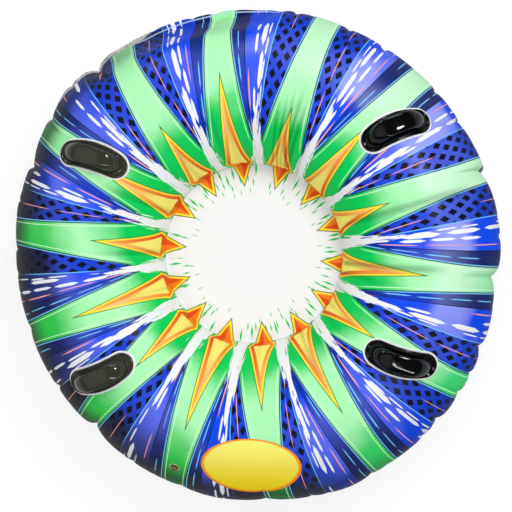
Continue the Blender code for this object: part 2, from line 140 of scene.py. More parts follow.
class Signal:
    """A number that flows through a node tree, written like plain arithmetic."""

    def __init__(self, tree: Tree, socket: Socket) -> None:
        """Wrap a socket.

        Args:
            tree: The tree that holds the socket.
            socket: The output that carries the number.
        """
        self.tree = tree
        self.socket = socket

    def math(self, operation: str, *others: Number) -> "Signal":
        """Apply a Math node.

        Args:
            operation: The node's operation.
            *others: Its further operands.

        Returns:
            The result.
        """
        return operate(self.tree, operation, self, *others)

    def __add__(self, other: Number) -> "Signal":
        """Sum."""
        return self.math("ADD", other)

    __radd__ = __add__

    def __sub__(self, other: Number) -> "Signal":
        """Difference."""
        return self.math("SUBTRACT", other)

    def __rsub__(self, other: Number) -> "Signal":
        """Difference, the other way round."""
        return operate(self.tree, "SUBTRACT", other, self)

    def __mul__(self, other: Number) -> "Signal":
        """Product."""
        return self.math("MULTIPLY", other)

    __rmul__ = __mul__

    def __truediv__(self, other: Number) -> "Signal":
        """Quotient."""
        return self.math("DIVIDE", other)

    def step(self, low: Number, high: Number) -> "Signal":
        """Smooth rise from 0 at low to 1 at high.

        Args:
            low: Where the rise starts.
            high: Where it ends.

        Returns:
            The risen signal.
        """
        node = self.tree.nodes.new("ShaderNodeMapRange")
        node.interpolation_type = "SMOOTHSTEP"
        feed(self.tree, node.inputs["Value"], self)
        feed(self.tree, node.inputs["From Min"], low)
        feed(self.tree, node.inputs["From Max"], high)
        return Signal(self.tree, node.outputs["Result"])


def feed(tree: Tree, socket: Socket, value: Any) -> None:
    """Link a signal to a socket, or set the socket to a constant.

    Args:
        tree: The tree that holds the socket.
        socket: The input to feed.
        value: A Signal, an output socket or a plain value.
    """
    if isinstance(value, Signal):
        tree.links.new(value.socket, socket)
    elif isinstance(value, Socket):
        tree.links.new(value, socket)
    elif isinstance(value, tuple) and len(value) == 3 and socket.type == "RGBA":
        socket.default_value = (*value, 1.0)
    else:
        socket.default_value = value


def operate(tree: Tree, operation: str, *operands: Number) -> Signal:
    """Add a Math node.

    Args:
        tree: The tree to add it to.
        operation: The node's operation.
        *operands: Signals or plain numbers.

    Returns:
        The node's result.
    """
    node = tree.nodes.new("ShaderNodeMath")
    node.operation = operation
    for socket, operand in zip(node.inputs, operands):
        feed(tree, socket, operand)
    return Signal(tree, node.outputs[0])


class Painter:
    """A material under construction: its Principled shader and the signals that paint it."""

    def __init__(self, title: str) -> None:
        """Start a material.

        Args:
            title: The material's name.
        """
        self.material = bpy.data.materials.new(title)
        self.material.use_nodes = True
        self.tree = self.material.node_tree
        self.shader = self.tree.nodes["Principled BSDF"]
        self.place = self.tree.nodes.new("ShaderNodeTexCoord").outputs["Object"]

    def set(self, **values: Any) -> None:
        """Set the shader's own sockets, with underscores for spaces in their names."""
        for name, value in values.items():
            feed(self.tree, self.shader.inputs[name.replace("_", " ")], value)

    def split(self, vector: Socket) -> tuple[Signal, Signal, Signal]:
        """Take a vector apart.

        Args:
            vector: The vector.

        Returns:
            Its X, Y and Z.
        """
        node = self.tree.nodes.new("ShaderNodeSeparateXYZ")
        self.tree.links.new(vector, node.inputs[0])
        return tuple(Signal(self.tree, output) for output in node.outputs)

    def join(self, x: Number, y: Number, z: Number) -> Socket:
        """Put a vector together.

        Args:
            x: Its X.
            y: Its Y.
            z: Its Z.

        Returns:
            The vector.
        """
        node = self.tree.nodes.new("ShaderNodeCombineXYZ")
        for socket, value in zip(node.inputs, (x, y, z)):
            feed(self.tree, socket, value)
        return node.outputs[0]

    def noise(self, scale: float, detail: float = 3.0, rough: float = 0.5,
              where: Optional[Socket] = None) -> Signal:
        """Smooth noise round 0.5.

        Args:
            scale: Waves to a metre.
            detail: Octaves.
            rough: Weight of the finer octaves.
            where: The vector that it reads, if not the place in the model.

        Returns:
            The noise.
        """
        node = self.tree.nodes.new("ShaderNodeTexNoise")
        self.tree.links.new(where or self.place, node.inputs["Vector"])
        node.inputs["Scale"].default_value = scale
        node.inputs["Detail"].default_value = detail
        node.inputs["Roughness"].default_value = rough
        return Signal(self.tree, node.outputs["Fac"])

    def chance(self, *parts: Number) -> Signal:
        """Fixed random number from 0 to 1 for each set of whole values.

        Args:
            *parts: Up to three signals.

        Returns:
            The number.
        """
        node = self.tree.nodes.new("ShaderNodeTexWhiteNoise")
        node.noise_dimensions = "3D"
        padded = (*parts, 0.0, 0.0, 0.0)[:3]
        self.tree.links.new(self.join(*padded), node.inputs["Vector"])
        return Signal(self.tree, node.outputs["Value"])

    def mix(self, share: Number, low: Any, high: Any) -> Socket:
        """Colour between two.

        Args:
            share: From 0 for the first to 1 for the second.
            low: The first colour.
            high: The second colour.

        Returns:
            The colour socket.
        """
        node = self.tree.nodes.new("ShaderNodeMix")
        node.data_type = "RGBA"
        feed(self.tree, node.inputs["Factor"], share)
        feed(self.tree, node.inputs[6], low)
        feed(self.tree, node.inputs[7], high)
        return node.outputs[2]

    def shade(self, colour: Socket, level: Number) -> Socket:
        """Make a colour darker or lighter.

        Args:
            colour: The colour.
            level: Its new level, where 1 leaves it as it is.

        Returns:
            The colour socket.
        """
        node = self.tree.nodes.new("ShaderNodeVectorMath")
        node.operation = "SCALE"
        self.tree.links.new(colour, node.inputs[0])
        feed(self.tree, node.inputs["Scale"], level)
        return node.outputs["Vector"]

    def relief(self, *bumps: tuple[Signal, float]) -> None:
        """Give the shader a normal from heights.

        Args:
            *bumps: Pairs of a signal from 0 to 1 and its depth in metres.
        """
        normal = None
        for height, depth in bumps:
            node = self.tree.nodes.new("ShaderNodeBump")
            node.inputs["Strength"].default_value = 1.0
            node.inputs["Distance"].default_value = depth
            feed(self.tree, node.inputs["Height"], height)
            if normal is not None:
                self.tree.links.new(normal, node.inputs["Normal"])
            normal = node.outputs["Normal"]
        self.tree.links.new(normal, self.shader.inputs["Normal"])

    def glaze(self, share: float, roughness: Number) -> None:
        """Lay an even faint gloss over the shader, with the shader's own normal.

        Args:
            share: How much it mirrors, the same from every side.
            roughness: Its roughness.
        """
        gloss = self.tree.nodes.new("ShaderNodeBsdfAnisotropic")
        gloss.inputs["Color"].default_value = (share, share, share, 1.0)
        feed(self.tree, gloss.inputs["Roughness"], roughness)
        self.tree.links.new(self.shader.inputs["Normal"].links[0].from_socket,
                            gloss.inputs["Normal"])
        self.add(gloss)

    def add(self, second: bpy.types.Node) -> None:
        """Add another shader to the material's own.

        Args:
            second: The other shader's node.
        """
        both = self.tree.nodes.new("ShaderNodeAddShader")
        self.tree.links.new(self.shader.outputs[0], both.inputs[0])
        self.tree.links.new(second.outputs[0], both.inputs[1])
        output = next(node for node in self.tree.nodes if node.type == "OUTPUT_MATERIAL")
        self.tree.links.new(both.outputs[0], output.inputs["Surface"])


def seen_directly(tree: Tree) -> Signal:
    """Signal that tells looking from lighting.

    Args:
        tree: The tree to add it to.

    Returns:
        1 for rays from the camera, off a gloss or through clear vinyl, and 0 for all others.
    """
    path = tree.nodes.new("ShaderNodeLightPath")
    camera, glossy, through = (Signal(tree, path.outputs[f"Is {kind} Ray"])
                               for kind in ("Camera", "Glossy", "Transmission"))
    return (camera + glossy + through).math("MINIMUM", 1.0)


# Finishes


@dataclass(frozen=True)
class Sides:
    """Where round the ring the print changes: signals from 0 to 1 by bearing.

    Attributes:
        dark: Painted shade with a darker print: the rim fades to dark away from the key light.
        dusk: The middle of the dark side, where its painted shade begins further in.
        leafy: Painted shade with print: the rim turns leaf green again away from the key light.
        pale: Painted sheen: the rays and wedges stay pale out to the rim towards the lights.
        deep: The leaf green near the well reaches further out.
    """

    dark: Signal
    dusk: Signal
    leafy: Signal
    pale: Signal
    deep: Signal

    @classmethod
    def of(cls, turn: Signal) -> "Sides":
        """Read the signals at a bearing.

        Args:
            turn: The bearing, in turns.

        Returns:
            The signals.
        """
        # Bearing and cosine range of dark, dusk, leafy, pale and deep; the key light stands at bearing
        # 50
        spans = ((210.0, -0.50, 0.62), (203.0, 0.55, 0.95), (250.0, -0.45, 0.30),
                 (25.0, 0.35, 0.90), (70.0, -0.65, 0.35))
        return cls(*(((turn - bearing / 360.0) * math.tau).math("COSINE").step(low, high)
                     for bearing, low, high in spans))


@dataclass(frozen=True)
class FlatPlace:
    """Where a point of the film lies on the flat sheet, as signals.

    Attributes:
        paint: The material.
        rho: Distance from the middle.
        turn: Turns round the middle.
        sector: Sectors round the middle, one to a blue wedge.
        index: Number of the sector.
        pitch: Width of the sector at this distance.
        across: Distance from the sector's centre line.
    """

    paint: Painter
    rho: Signal
    turn: Signal
    sector: Signal
    index: Signal
    pitch: Signal
    across: Signal


@dataclass(frozen=True)
class SunburstPrint:
    """Gloss ink on vinyl: straight green rays, blue wedges, orange kites and a torn white star.

    Distances are on the flat sheet, before it is inflated.
    """

    title: str = "printed vinyl film"
    rays: int = 14
    floor_radius: float = 0.168
    ring_radius: float = 0.310
    half_width: float = 0.142
    rim: float = 0.614
    wedge_tip: float = 0.256
    wedge_growth: float = 0.365
    wedge_share: float = 0.38
    wedge_ease: float = 0.030
    outline_gap: float = 0.0085
    star_tip: float = 0.352
    star_share: float = 0.19575
    first_ray: float = -9.1 / 360.0
    kite_root: float = 0.130
    kite_shoulder: float = 0.204
    kite_tip: float = 0.405
    kite_step: float = 0.050
    kite_share: float = 0.335
    kite_border: float = 0.0042
    kite_rim: float = 0.0016
    kite_slit: float = 0.01218
    lattice: float = 0.0265
    diamond: float = 0.27
    hairline: float = 0.0011
    soft: float = 0.0005
    badge_centre: tuple[float, float] = (-0.0105, -0.3785)
    badge_axes: tuple[float, float] = (0.0915, 0.0515)
    badge_turn: float = math.radians(-3.4)

    def material(self) -> bpy.types.Material:
        """Build the material.

        Returns:
            The finished material.
        """
        paint = Painter(self.title)
        at = self.locate(paint)
        colour = self.bare_edge(at, self.badge(at, self.field(at)))
        cloud = paint.noise(7.0, 3.0)
        grain = paint.noise(900.0, 2.0)
        dull = paint.noise(38.0, 4.0, 0.6)
        colour = paint.mix((cloud - 0.5) * 0.03 + (grain - 0.5) * 0.03 + 0.002, colour, WHITE)
        # Painted shade: the print darkens by up to about half in the film's creases, from their depth
        # stored on the mesh
        pressed = paint.tree.nodes.new("ShaderNodeAttribute")
        pressed.attribute_name = CREASE_SHADE
        colour = paint.shade(colour, 1.0 - Signal(paint.tree, pressed.outputs["Fac"]) * 0.52)
        paint.set(Base_Color=colour, Roughness=0.45, IOR=1.5, Specular_IOR_Level=0.02)
        paint.relief((paint.noise(16.0, 2.0, 0.4), 0.0016),
                     (paint.noise(1100.0, 2.0), 0.00005))
        paint.glaze(0.007, dull * 0.14 + 0.24)
        return paint.material

    def locate(self, paint: Painter) -> FlatPlace:
        """Read the place on the flat sheet from its map.

        Args:
            paint: The material.

        Returns:
            The place.
        """
        uv = paint.tree.nodes.new("ShaderNodeUVMap")
        uv.uv_map = FLAT_MAP
        u, v, _ = paint.split(uv.outputs["UV"])
        x, y = (u - 0.5) * FLAT_SPAN, (v - 0.5) * FLAT_SPAN
        rho = (x * x + y * y).math("SQRT")
        turn = y.math("ARCTAN2", x) / math.tau
        sector = (turn - self.first_ray) * self.rays
        pitch = rho * (math.tau / self.rays)
        across = (sector.math("FRACT") - 0.5) * pitch
        return FlatPlace(paint, rho, turn, sector, sector.math("FLOOR"), pitch, across)

    def field(self, at: FlatPlace) -> Socket:
        """Colour of the rays, wedges, star, floor and kites.

        Args:
            at: The place on the flat sheet.

        Returns:
            The colour socket.
        """
        paint, rho = at.paint, at.rho
        wedge = (rho - self.wedge_tip) * self.wedge_growth
        wedge = wedge.math("SMOOTH_MIN", at.pitch * self.wedge_share, self.wedge_ease)
        inside = wedge - at.across.math("ABSOLUTE")
        sides = Sides.of(at.turn)
        colour = self.green(at, sides)
        colour = self.line(paint, inside + self.outline_gap, 0.0009, rho.step(0.27, 0.30), colour,
                           PALE_MINT)
        colour = paint.mix(self.filled(inside), colour, self.blue(at, wedge, sides))
        shown = rho.step(self.wedge_tip, self.wedge_tip + 0.012)
        colour = self.line(paint, inside + 0.0014, self.hairline, shown, colour, INK)
        colour = self.line(paint, inside - 0.0008, self.hairline, rho.step(0.300, 0.380), colour,
                           SKY)
        floor = rho.step(self.floor_radius + self.soft, self.floor_radius - self.soft)
        colour = paint.mix(floor, self.star(at, colour), WHITE)
        return self.kites(at, self.flecks(at, colour))

    def filled(self, depth: Signal) -> Signal:
        """Signal that is 1 inside a shape, from the depth in it, with a crisp edge."""
        return depth.step(-self.soft, self.soft)

    def line(self, paint: Painter, distance: Signal, half: float, shown: Number,
             under: Socket, ink: Colour) -> Socket:
        """Draw a thin line where a distance is nearly nothing.

        Args:
            paint: The material.
            distance: Distance from the line.
            half: Half of its width.
            shown: Share from 0 to 1 in which it shows.
            under: The colour that it is printed on.
            ink: Its colour.

        Returns:
            The colour socket.
        """
        drawn = distance.math("ABSOLUTE").step(half + self.soft, half - self.soft)
        return paint.mix(drawn * shown, under, ink)

    def green(self, at: FlatPlace, sides: Sides) -> Socket:
        """Green of a ray.

        Args:
            at: The place on the flat sheet.
            sides: Where round the ring the print and its painted shade and sheen change.

        Returns:
            The colour socket: leaf near the well, mint over the crown and leaf again at the rim.
        """
        paint, rho = at.paint, at.rho
        mist = (paint.noise(9.0, 3.0) - 0.5) * 0.14
        colour = paint.mix((rho + mist - sides.deep * 0.060).step(0.258, 0.340), LEAF, MINT)
        # Painted sheen: the mint washes towards white on the pale side, facing the lights
        colour = paint.mix(rho.step(0.400, 0.450) * sides.pale * 0.35, colour, WHITE)
        # Print with painted shade: the rim turns green away from the key light, darker on the dark side
        rim = (rho + mist + sides.dark * 0.050 + sides.dusk * 0.040).step(0.455, 0.540)
        leaf = paint.mix(sides.dark, RIM_MINT, RIM_GREEN)
        colour = paint.mix(rim * (sides.leafy * 0.9 + 0.05), colour, leaf)
        # Painted shade over a faint print edge: the rim's edge goes pine, mostly on the dark side
        edge = (rho + sides.dark * 0.056).step(0.530, 0.600)
        return paint.mix(edge * (sides.dark * 0.88 + 0.06), colour, PINE)

    def blue(self, at: FlatPlace, wedge: Signal, sides: Sides) -> Socket:
        """Blue of a wedge, with its dark diamonds, white shards and thin coloured lines.

        Args:
            at: The place on the flat sheet.
            wedge: Half width of the wedge.
            sides: Where round the ring the print and its painted shade and sheen change.

        Returns:
            The colour socket.
        """
        paint, rho = at.paint, at.rho
        mirrored = (at.index.math("FLOORED_MODULO", 2.0) * 2.0 - 1.0) * at.across
        share = mirrored / wedge
        mist = (paint.noise(8.0, 2.0) - 0.5) * 0.30
        # Painted sheen in part: the crown's colour reaches further out on the pale side, and at the dark
        # side's ends
        tail = (rho + mist - sides.pale * 0.045 - (sides.dark - sides.dusk) * 0.030).step(
            0.445, 0.515)
        crown = (rho + mist).step(0.350, 0.430) * (1.0 - tail)
        colour = paint.mix(rho.step(0.310, 0.370), DEEP, ROYAL)
        # Violet over the crown is print, stronger and lilac on the pale side as painted sheen
        colour = paint.mix(crown * (sides.dark * 0.35 + sides.pale * 0.40 + 0.38), colour, VIOLET)
        colour = paint.mix(crown * rho.step(0.400, 0.440) * sides.pale, colour, LILAC)
        flank = share.step(-0.20, -0.24)
        colour = paint.mix(flank * 0.8, colour, FLANK_BLUE)
        # The flank's navy rim is print; it begins further in on the dark side as painted shade
        rim = (rho + mist * 0.4 + sides.dark * 0.05).step(0.500, 0.600)
        colour = paint.mix(flank * rim * 0.5, colour, NAVY)
        # Painted shade: DUSK darkens the outer blue on the side away from the key light
        dusk = (rho + mist * 0.3 + sides.dusk * 0.060).step(0.450, 0.520)
        dusk = dusk * sides.dark * (sides.dusk * 0.6 + 0.4)
        colour = paint.mix(dusk * (flank * 0.18 + 0.82), colour, DUSK)
        spot = self.diamonds(rho, mirrored)
        colour = paint.mix(spot * flank * rho.step(0.285, 0.295), colour, INK)
        bank = share.step(0.60, 0.62)
        colour = paint.mix(bank * (0.45 + rho.step(0.40, 0.52) * 0.5), colour, NAVY)
        colour = self.line(paint, mirrored + wedge * 0.22, 0.0009, rho.step(0.32, 0.38), colour,
                           SKY)
        colour = self.line(paint, mirrored - wedge * 0.61, 0.0008, rho.step(0.33, 0.34), colour,
                           INK)
        # Near-black rim edge: darker print all round, deepened on the dark side as painted shade
        edge = (rho + mist * 0.15 + sides.dark * 0.072).step(0.540, 0.606)
        colour = paint.mix(edge * (sides.dark * 0.70 + 0.22), colour, RIM_INK_AND_SHADE)
        for start, length, offset, half, ink in (
                (0.00, 0.082, 0.04, 0.0056, WHITE), (0.37, 0.055, 0.24, 0.0034, WHITE),
                (0.72, 0.047, -0.08, 0.0020, WHITE), (0.13, 0.088, 0.46, 0.0015, ROSE),
                (0.61, 0.060, 0.80, 0.0014, SKY), (0.83, 0.105, -0.60, 0.0011, ROSE)):
            colour = self.shard(at, mirrored - wedge * offset, (start, length, half), ink, colour)
        return colour

    def diamonds(self, rho: Signal, across: Signal) -> Signal:
        """Staggered diamonds, longer than they are wide.

        Args:
            rho: Distance from the middle of the flat sheet.
            across: Distance from the wedge's centre line.

        Returns:
            A signal that is 1 in a diamond.
        """
        run, side = rho / (self.lattice * 1.35), across / self.lattice
        one = (run + side).math("FRACT") - 0.5
        other = (run - side).math("FRACT") - 0.5
        spot = one.math("ABSOLUTE").math("MAXIMUM", other.math("ABSOLUTE"))
        return spot.step(self.diamond + 0.02, self.diamond)

    def shard(self, at: FlatPlace, shift: Signal, form: tuple[float, float, float], ink: Colour,
              under: Socket) -> Socket:
        """One broken line of slim, straight-edged shards along a wedge.

        Args:
            at: The place on the flat sheet.
            shift: Distance from the line that they follow.
            form: Start, length and greatest half width.
            ink: Its colour.
            under: The colour that it is printed on.

        Returns:
            The colour socket.
        """
        start, length, half = form
        run = at.rho / length + at.paint.chance(at.index, start)
        luck = at.paint.chance(run.math("FLOOR"), at.index, start + 2.0)
        along = run.math("FRACT") * 2.0 - 1.0
        aside = (shift - (luck - 0.5) * (0.2 * half + 0.003)).math("ABSOLUTE")
        body = (0.88 - along.math("ABSOLUTE")) * (half * 2.4) - aside
        body = body.math("MINIMUM", luck * (half * 0.5) + half * 0.5 - aside)
        shown = self.filled(body) * luck.step(0.24, 0.26)
        return at.paint.mix(shown, under, ink)

    def star(self, at: FlatPlace, under: Socket) -> Socket:
        """White star that grows out of the floor, its spikes torn into streaks.

        Args:
            at: The place on the flat sheet.
            under: The colour that it is printed on.

        Returns:
            The colour socket.
        """
        paint, rho = at.paint, at.rho
        tip = paint.chance(at.index, 5.0) * 0.05 + self.star_tip
        taper = (tip - rho) / (tip - self.floor_radius)
        streak = paint.noise(
            1.0, 3.0, 0.55, paint.join(at.across * 210.0, rho * 17.0, at.index * 3.7))
        body = taper * at.pitch * self.star_share + (streak - 0.54) * 0.040
        body = body - at.across.math("ABSOLUTE")
        torn = body.step(-0.0004, 0.0004) * rho.step(tip + 0.012, tip + 0.006)
        return paint.mix(torn, under, WHITE)

    def flecks(self, at: FlatPlace, under: Socket) -> Socket:
        """Slim green splinters scattered over the white floor, close to its edge.

        Args:
            at: The place on the flat sheet.
            under: The colour that they are printed on.

        Returns:
            The colour socket.
        """
        paint, colour = at.paint, under
        for count, start, length, half in ((39, 0.112, 0.006, 0.0010), (61, 0.128, 0.009, 0.0015),
                                           (83, 0.144, 0.014, 0.0022)):
            sector = at.turn * count
            index = sector.math("FLOOR")
            luck, aim = paint.chance(index, count), paint.chance(index, count + 1.0)
            aside = (sector.math("FRACT") - 0.25 - aim * 0.5) * at.rho * (math.tau / count)
            along = (at.rho - start - luck * 0.016).math("ABSOLUTE") / length
            body = (1.0 - along) * half - aside.math("ABSOLUTE")
            shown = self.filled(body) * paint.chance(index, count + 2.0).step(0.44, 0.45)
            colour = paint.mix(shown, colour, LEAF)
        return colour

    def kites(self, at: FlatPlace, under: Socket) -> Socket:
        """Orange kites along the green rays, long and short by turns, folded down their middle.

        Args:
            at: The place on the flat sheet.
            under: The colour that they are printed on.

        Returns:
            The colour socket.
        """
        paint, rho = at.paint, at.rho
        aside = at.pitch * 0.5 - at.across.math("ABSOLUTE")
        odd = (at.sector + 0.5).math("FLOOR").math("FLOORED_MODULO", 2.0)
        tip = self.kite_tip - odd * self.kite_step
        widest = self.kite_shoulder * math.tau / self.rays * self.kite_share
        inner = (rho - self.kite_root) * (widest / (self.kite_shoulder - self.kite_root))
        outer = (tip - rho) / (tip - self.kite_shoulder) * widest
        body = inner.math("MINIMUM", outer) - aside
        colour = paint.mix(self.filled(body + self.kite_rim), under, KITE_RIM)
        colour = paint.mix(self.filled(body), colour, YELLOW)
        fade = rho.step(0.19, 0.36)
        folded = at.across.step(-0.0001, 0.0001)
        lit = paint.mix(folded, paint.mix(fade, *KITE_BRIGHT), paint.mix(fade, *KITE_DEEP))
        colour = paint.mix(self.filled(body - self.kite_border), colour, lit)
        slit = self.filled(body - self.kite_slit)
        shown = rho.step(0.196, 0.202) * rho.step(0.330, 0.250)
        return paint.mix(slit * shown, colour, PALE_YELLOW)

    def badge(self, at: FlatPlace, under: Socket) -> Socket:
        """Bare yellow oval with an orange edge, placed as it lies on the inflated ring.

        Args:
            at: The place on the flat sheet.
            under: The colour that it is printed on.

        Returns:
            The colour socket.
        """
        paint, rho = at.paint, at.rho
        slope = (rho - self.floor_radius) / self.half_width - math.pi / 2
        radius = slope.math("SINE") * self.half_width + self.ring_radius
        angle = at.turn * math.tau
        x = radius * angle.math("COSINE") - self.badge_centre[0]
        y = radius * angle.math("SINE") - self.badge_centre[1]
        c, s = math.cos(self.badge_turn), math.sin(self.badge_turn)
        a = (x * c + y * s) / self.badge_axes[0]
        b = (y * c - x * s) / self.badge_axes[1]
        reach = (a * a + b * b).math("SQRT")
        reach = reach + rho.step(0.30, 0.28) * 9.0
        yellow = paint.mix((b * 0.5 + 0.5).step(0.05, 0.95), *OVAL)
        border = paint.mix(reach.step(0.915, 0.965), yellow, OVAL_EDGE)
        return paint.mix(reach.step(1.006, 0.994), under, border)

    def bare_edge(self, at: FlatPlace, under: Socket) -> Socket:
        """Pale weld line, and the unprinted margin of the lip where the print sits off centre.

        Args:
            at: The place on the flat sheet.
            under: The colour that it is printed on.

        Returns:
            The colour socket.
        """
        paint, rho, bearing = at.paint, at.rho, at.turn * 360.0
        printed_on = bearing.step(115.5, 111.0) * 0.0060 + self.rim
        printed_on = printed_on + bearing.step(126.5, 129.0) * 0.0020
        bare = bearing.step(106.0, 109.0) * bearing.step(150.0, 146.0)
        bare = bare * rho.step(printed_on + 0.0005, printed_on + 0.0015)
        # Painted shade: the bare white lip is laid in grey, and darker grey in streaks along the rim
        grey_streaks = paint.noise(1.0, 3.0, 0.6, paint.join(bearing * 0.9, rho * 900.0, 0.0))
        grey = paint.mix(grey_streaks.step(0.42, 0.66), *BARE_VINYL_IN_SHADE)
        colour = paint.mix(bare, under, grey)
        seam = (rho - self.rim).math("ABSOLUTE").step(0.0016, 0.0008)
        return paint.mix(seam * 0.8, colour, WELD_LINE)


@dataclass(frozen=True)
class PlainVinyl:
    """Unprinted vinyl film with a faint pebble grain, clouding and light scuffs."""

    title: str
    colour: Colour
    scuffed: Colour
    roughness: float
    grain: float = 0.00006

    def material(self) -> bpy.types.Material:
        """Build the material.

        Returns:
            The finished material.
        """
        paint = Painter(self.title)
        cloud = paint.noise(11.0, 4.0)
        scuff = paint.noise(120.0, 5.0, 0.7).step(0.60, 0.74)
        paint.set(Base_Color=paint.mix(cloud * 0.25 + scuff * 0.35, self.colour, self.scuffed),
                  Roughness=self.roughness + cloud * 0.10 + scuff * 0.12, IOR=1.5)
        paint.relief((paint.noise(22.0, 3.0), 0.0010),
                     (paint.noise(1400.0, 2.0), self.grain))
        return paint.material


@dataclass(frozen=True)
class GlossMoulding:
    """Black dipped vinyl: deep gloss over a slightly uneven moulded skin."""

    title: str = "glossy black moulding"
    colour: Colour = printed(4, 6, 8)
    worn: Colour = printed(13, 14, 16)
    gloss: float = 0.20
    coat: float = 0.08

    def material(self) -> bpy.types.Material:
        """Build the material.

        Returns:
            The finished material.
        """
        paint = Painter(self.title)
        cloud = paint.noise(60.0, 4.0)
        dust = paint.noise(420.0, 4.0, 0.7).step(0.62, 0.80)
        paint.set(Base_Color=paint.mix(cloud * 0.4 + dust * 0.3, self.colour, self.worn),
                  Roughness=0.05 + cloud * 0.04 + dust * 0.08, IOR=1.5,
                  Specular_IOR_Level=self.gloss, Coat_Weight=self.coat, Coat_Roughness=0.03)
        paint.relief((paint.noise(60.0, 2.0, 0.4), 0.00016),
                     (paint.noise(900.0, 2.0), 0.00002))
        return paint.material


@dataclass(frozen=True)
class ClearVinyl:
    """Soft milky vinyl that lets light through, as valves are moulded from."""

    title: str = "clear green vinyl"
    colour: Colour = printed(232, 244, 180)
    shadow: Colour = printed(188, 214, 126)
    clear: float = 0.3

    def material(self) -> bpy.types.Material:
        """Build the material.

        Returns:
            The finished material.
        """
        paint = Painter(self.title)
        cloud = paint.noise(260.0, 3.0)
        paint.set(Base_Color=paint.mix(cloud, self.colour, self.shadow), IOR=1.48,
                  Roughness=0.07 + cloud * 0.08, Transmission_Weight=self.clear)
        paint.relief((paint.noise(500.0, 3.0), 0.00006))
        return paint.material


# Meshes


def stand(name: str, data: bpy.types.ID) -> bpy.types.Object:
    """Put a new object in the scene, at the origin.

    Args:
        name: The object's name.
        data: Its mesh, camera or lamp.

    Returns:
        The object.
    """
    made = bpy.data.objects.new(name, data)
    bpy.context.scene.collection.objects.link(made)
    return made


@contextmanager
def editing(data: bpy.types.Mesh) -> Iterator[bmesh.types.BMesh]:
    """Open a mesh for editing and write it back afterwards.

    Args:
        data: The mesh.

    Returns:
        Its editable form, for a with statement.
    """
    mesh = bmesh.new()
    mesh.from_mesh(data)
    yield mesh
    mesh.to_mesh(data)
    mesh.free()


def mesh_object(name: str, points: np.ndarray, faces: Iterable[Sequence[int]],
                smooth: bool = True) -> Piece:
    """Make an object at the origin from points and faces.

    Args:
        name: The object's name.
        points: Its vertices, in metres.
        faces: Its faces, as vertex numbers.
        smooth: Whether it is shaded smooth.

    Returns:
        The object.
    """
    mesh = bpy.data.meshes.new(name)
    mesh.from_pydata([tuple(p) for p in points], [], [tuple(f) for f in faces])
    mesh.validate()
    if smooth:
        mesh.shade_smooth()
    return stand(name, mesh)


def lofted(rings: int, count: int) -> list[tuple[int, ...]]:
    """Faces between closed rings of points, with a cap at either end.

    Args:
        rings: Number of rings.
        count: Number of points in a ring.

    Returns:
        The faces, as vertex numbers.
    """
    faces = [(a + i, a + (i + 1) % count, a + count + (i + 1) % count, a + count + i)
             for a in range(0, (rings - 1) * count, count) for i in range(count)]
    return faces + [tuple(reversed(range(count))), tuple(range((rings - 1) * count, rings * count))]


def outward(piece: Piece) -> None:
    """Turn a closed piece's faces outwards.

    Args:
        piece: The piece.
    """
    with editing(piece.data) as mesh:
        bmesh.ops.recalc_face_normals(mesh, faces=mesh.faces)


def settle(piece: Piece) -> Piece:
    """Turn a piece and its modifiers into a plain mesh at the origin.

    Args:
        piece: The piece.

    Returns:
        The same piece.
    """
    bpy.context.view_layer.update()
    graph = bpy.context.evaluated_depsgraph_get()
    mesh = bpy.data.meshes.new_from_object(piece.evaluated_get(graph))
    mesh.transform(piece.matrix_world)
    piece.modifiers.clear()
    piece.data = mesh
    piece.matrix_world = Matrix.Identity(4)
    return piece


def dress(piece: Piece, material: bpy.types.Material, body: str, slot: str,
          *nodes: str) -> Piece:
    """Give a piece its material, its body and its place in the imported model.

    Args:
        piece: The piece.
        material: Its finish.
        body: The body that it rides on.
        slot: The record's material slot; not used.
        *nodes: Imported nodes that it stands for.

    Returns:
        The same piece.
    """
    piece.data.materials.clear()
    piece.data.materials.append(material)
    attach(piece, body)
    if nodes:
        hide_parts(*nodes)
    LOG.info("%s: %d faces on %s", piece.name, len(piece.data.polygons), body)
    return piece


def rise(value: np.ndarray, low: float, high: float) -> np.ndarray:
    """Smooth rise from 0 at low to 1 at high.

    Args:
        value: The values.
        low: Where the rise starts.
        high: Where it ends.

    Returns:
        The risen values.
    """
    share = np.clip((value - low) / (high - low), 0.0, 1.0)
    return share * share * (3.0 - 2.0 * share)


def turned_away(first: np.ndarray, second: Number) -> np.ndarray:
    """Difference of two angles, from minus to plus half a turn."""
    return (first - second + math.pi) % math.tau - math.pi


# Geometry node trees


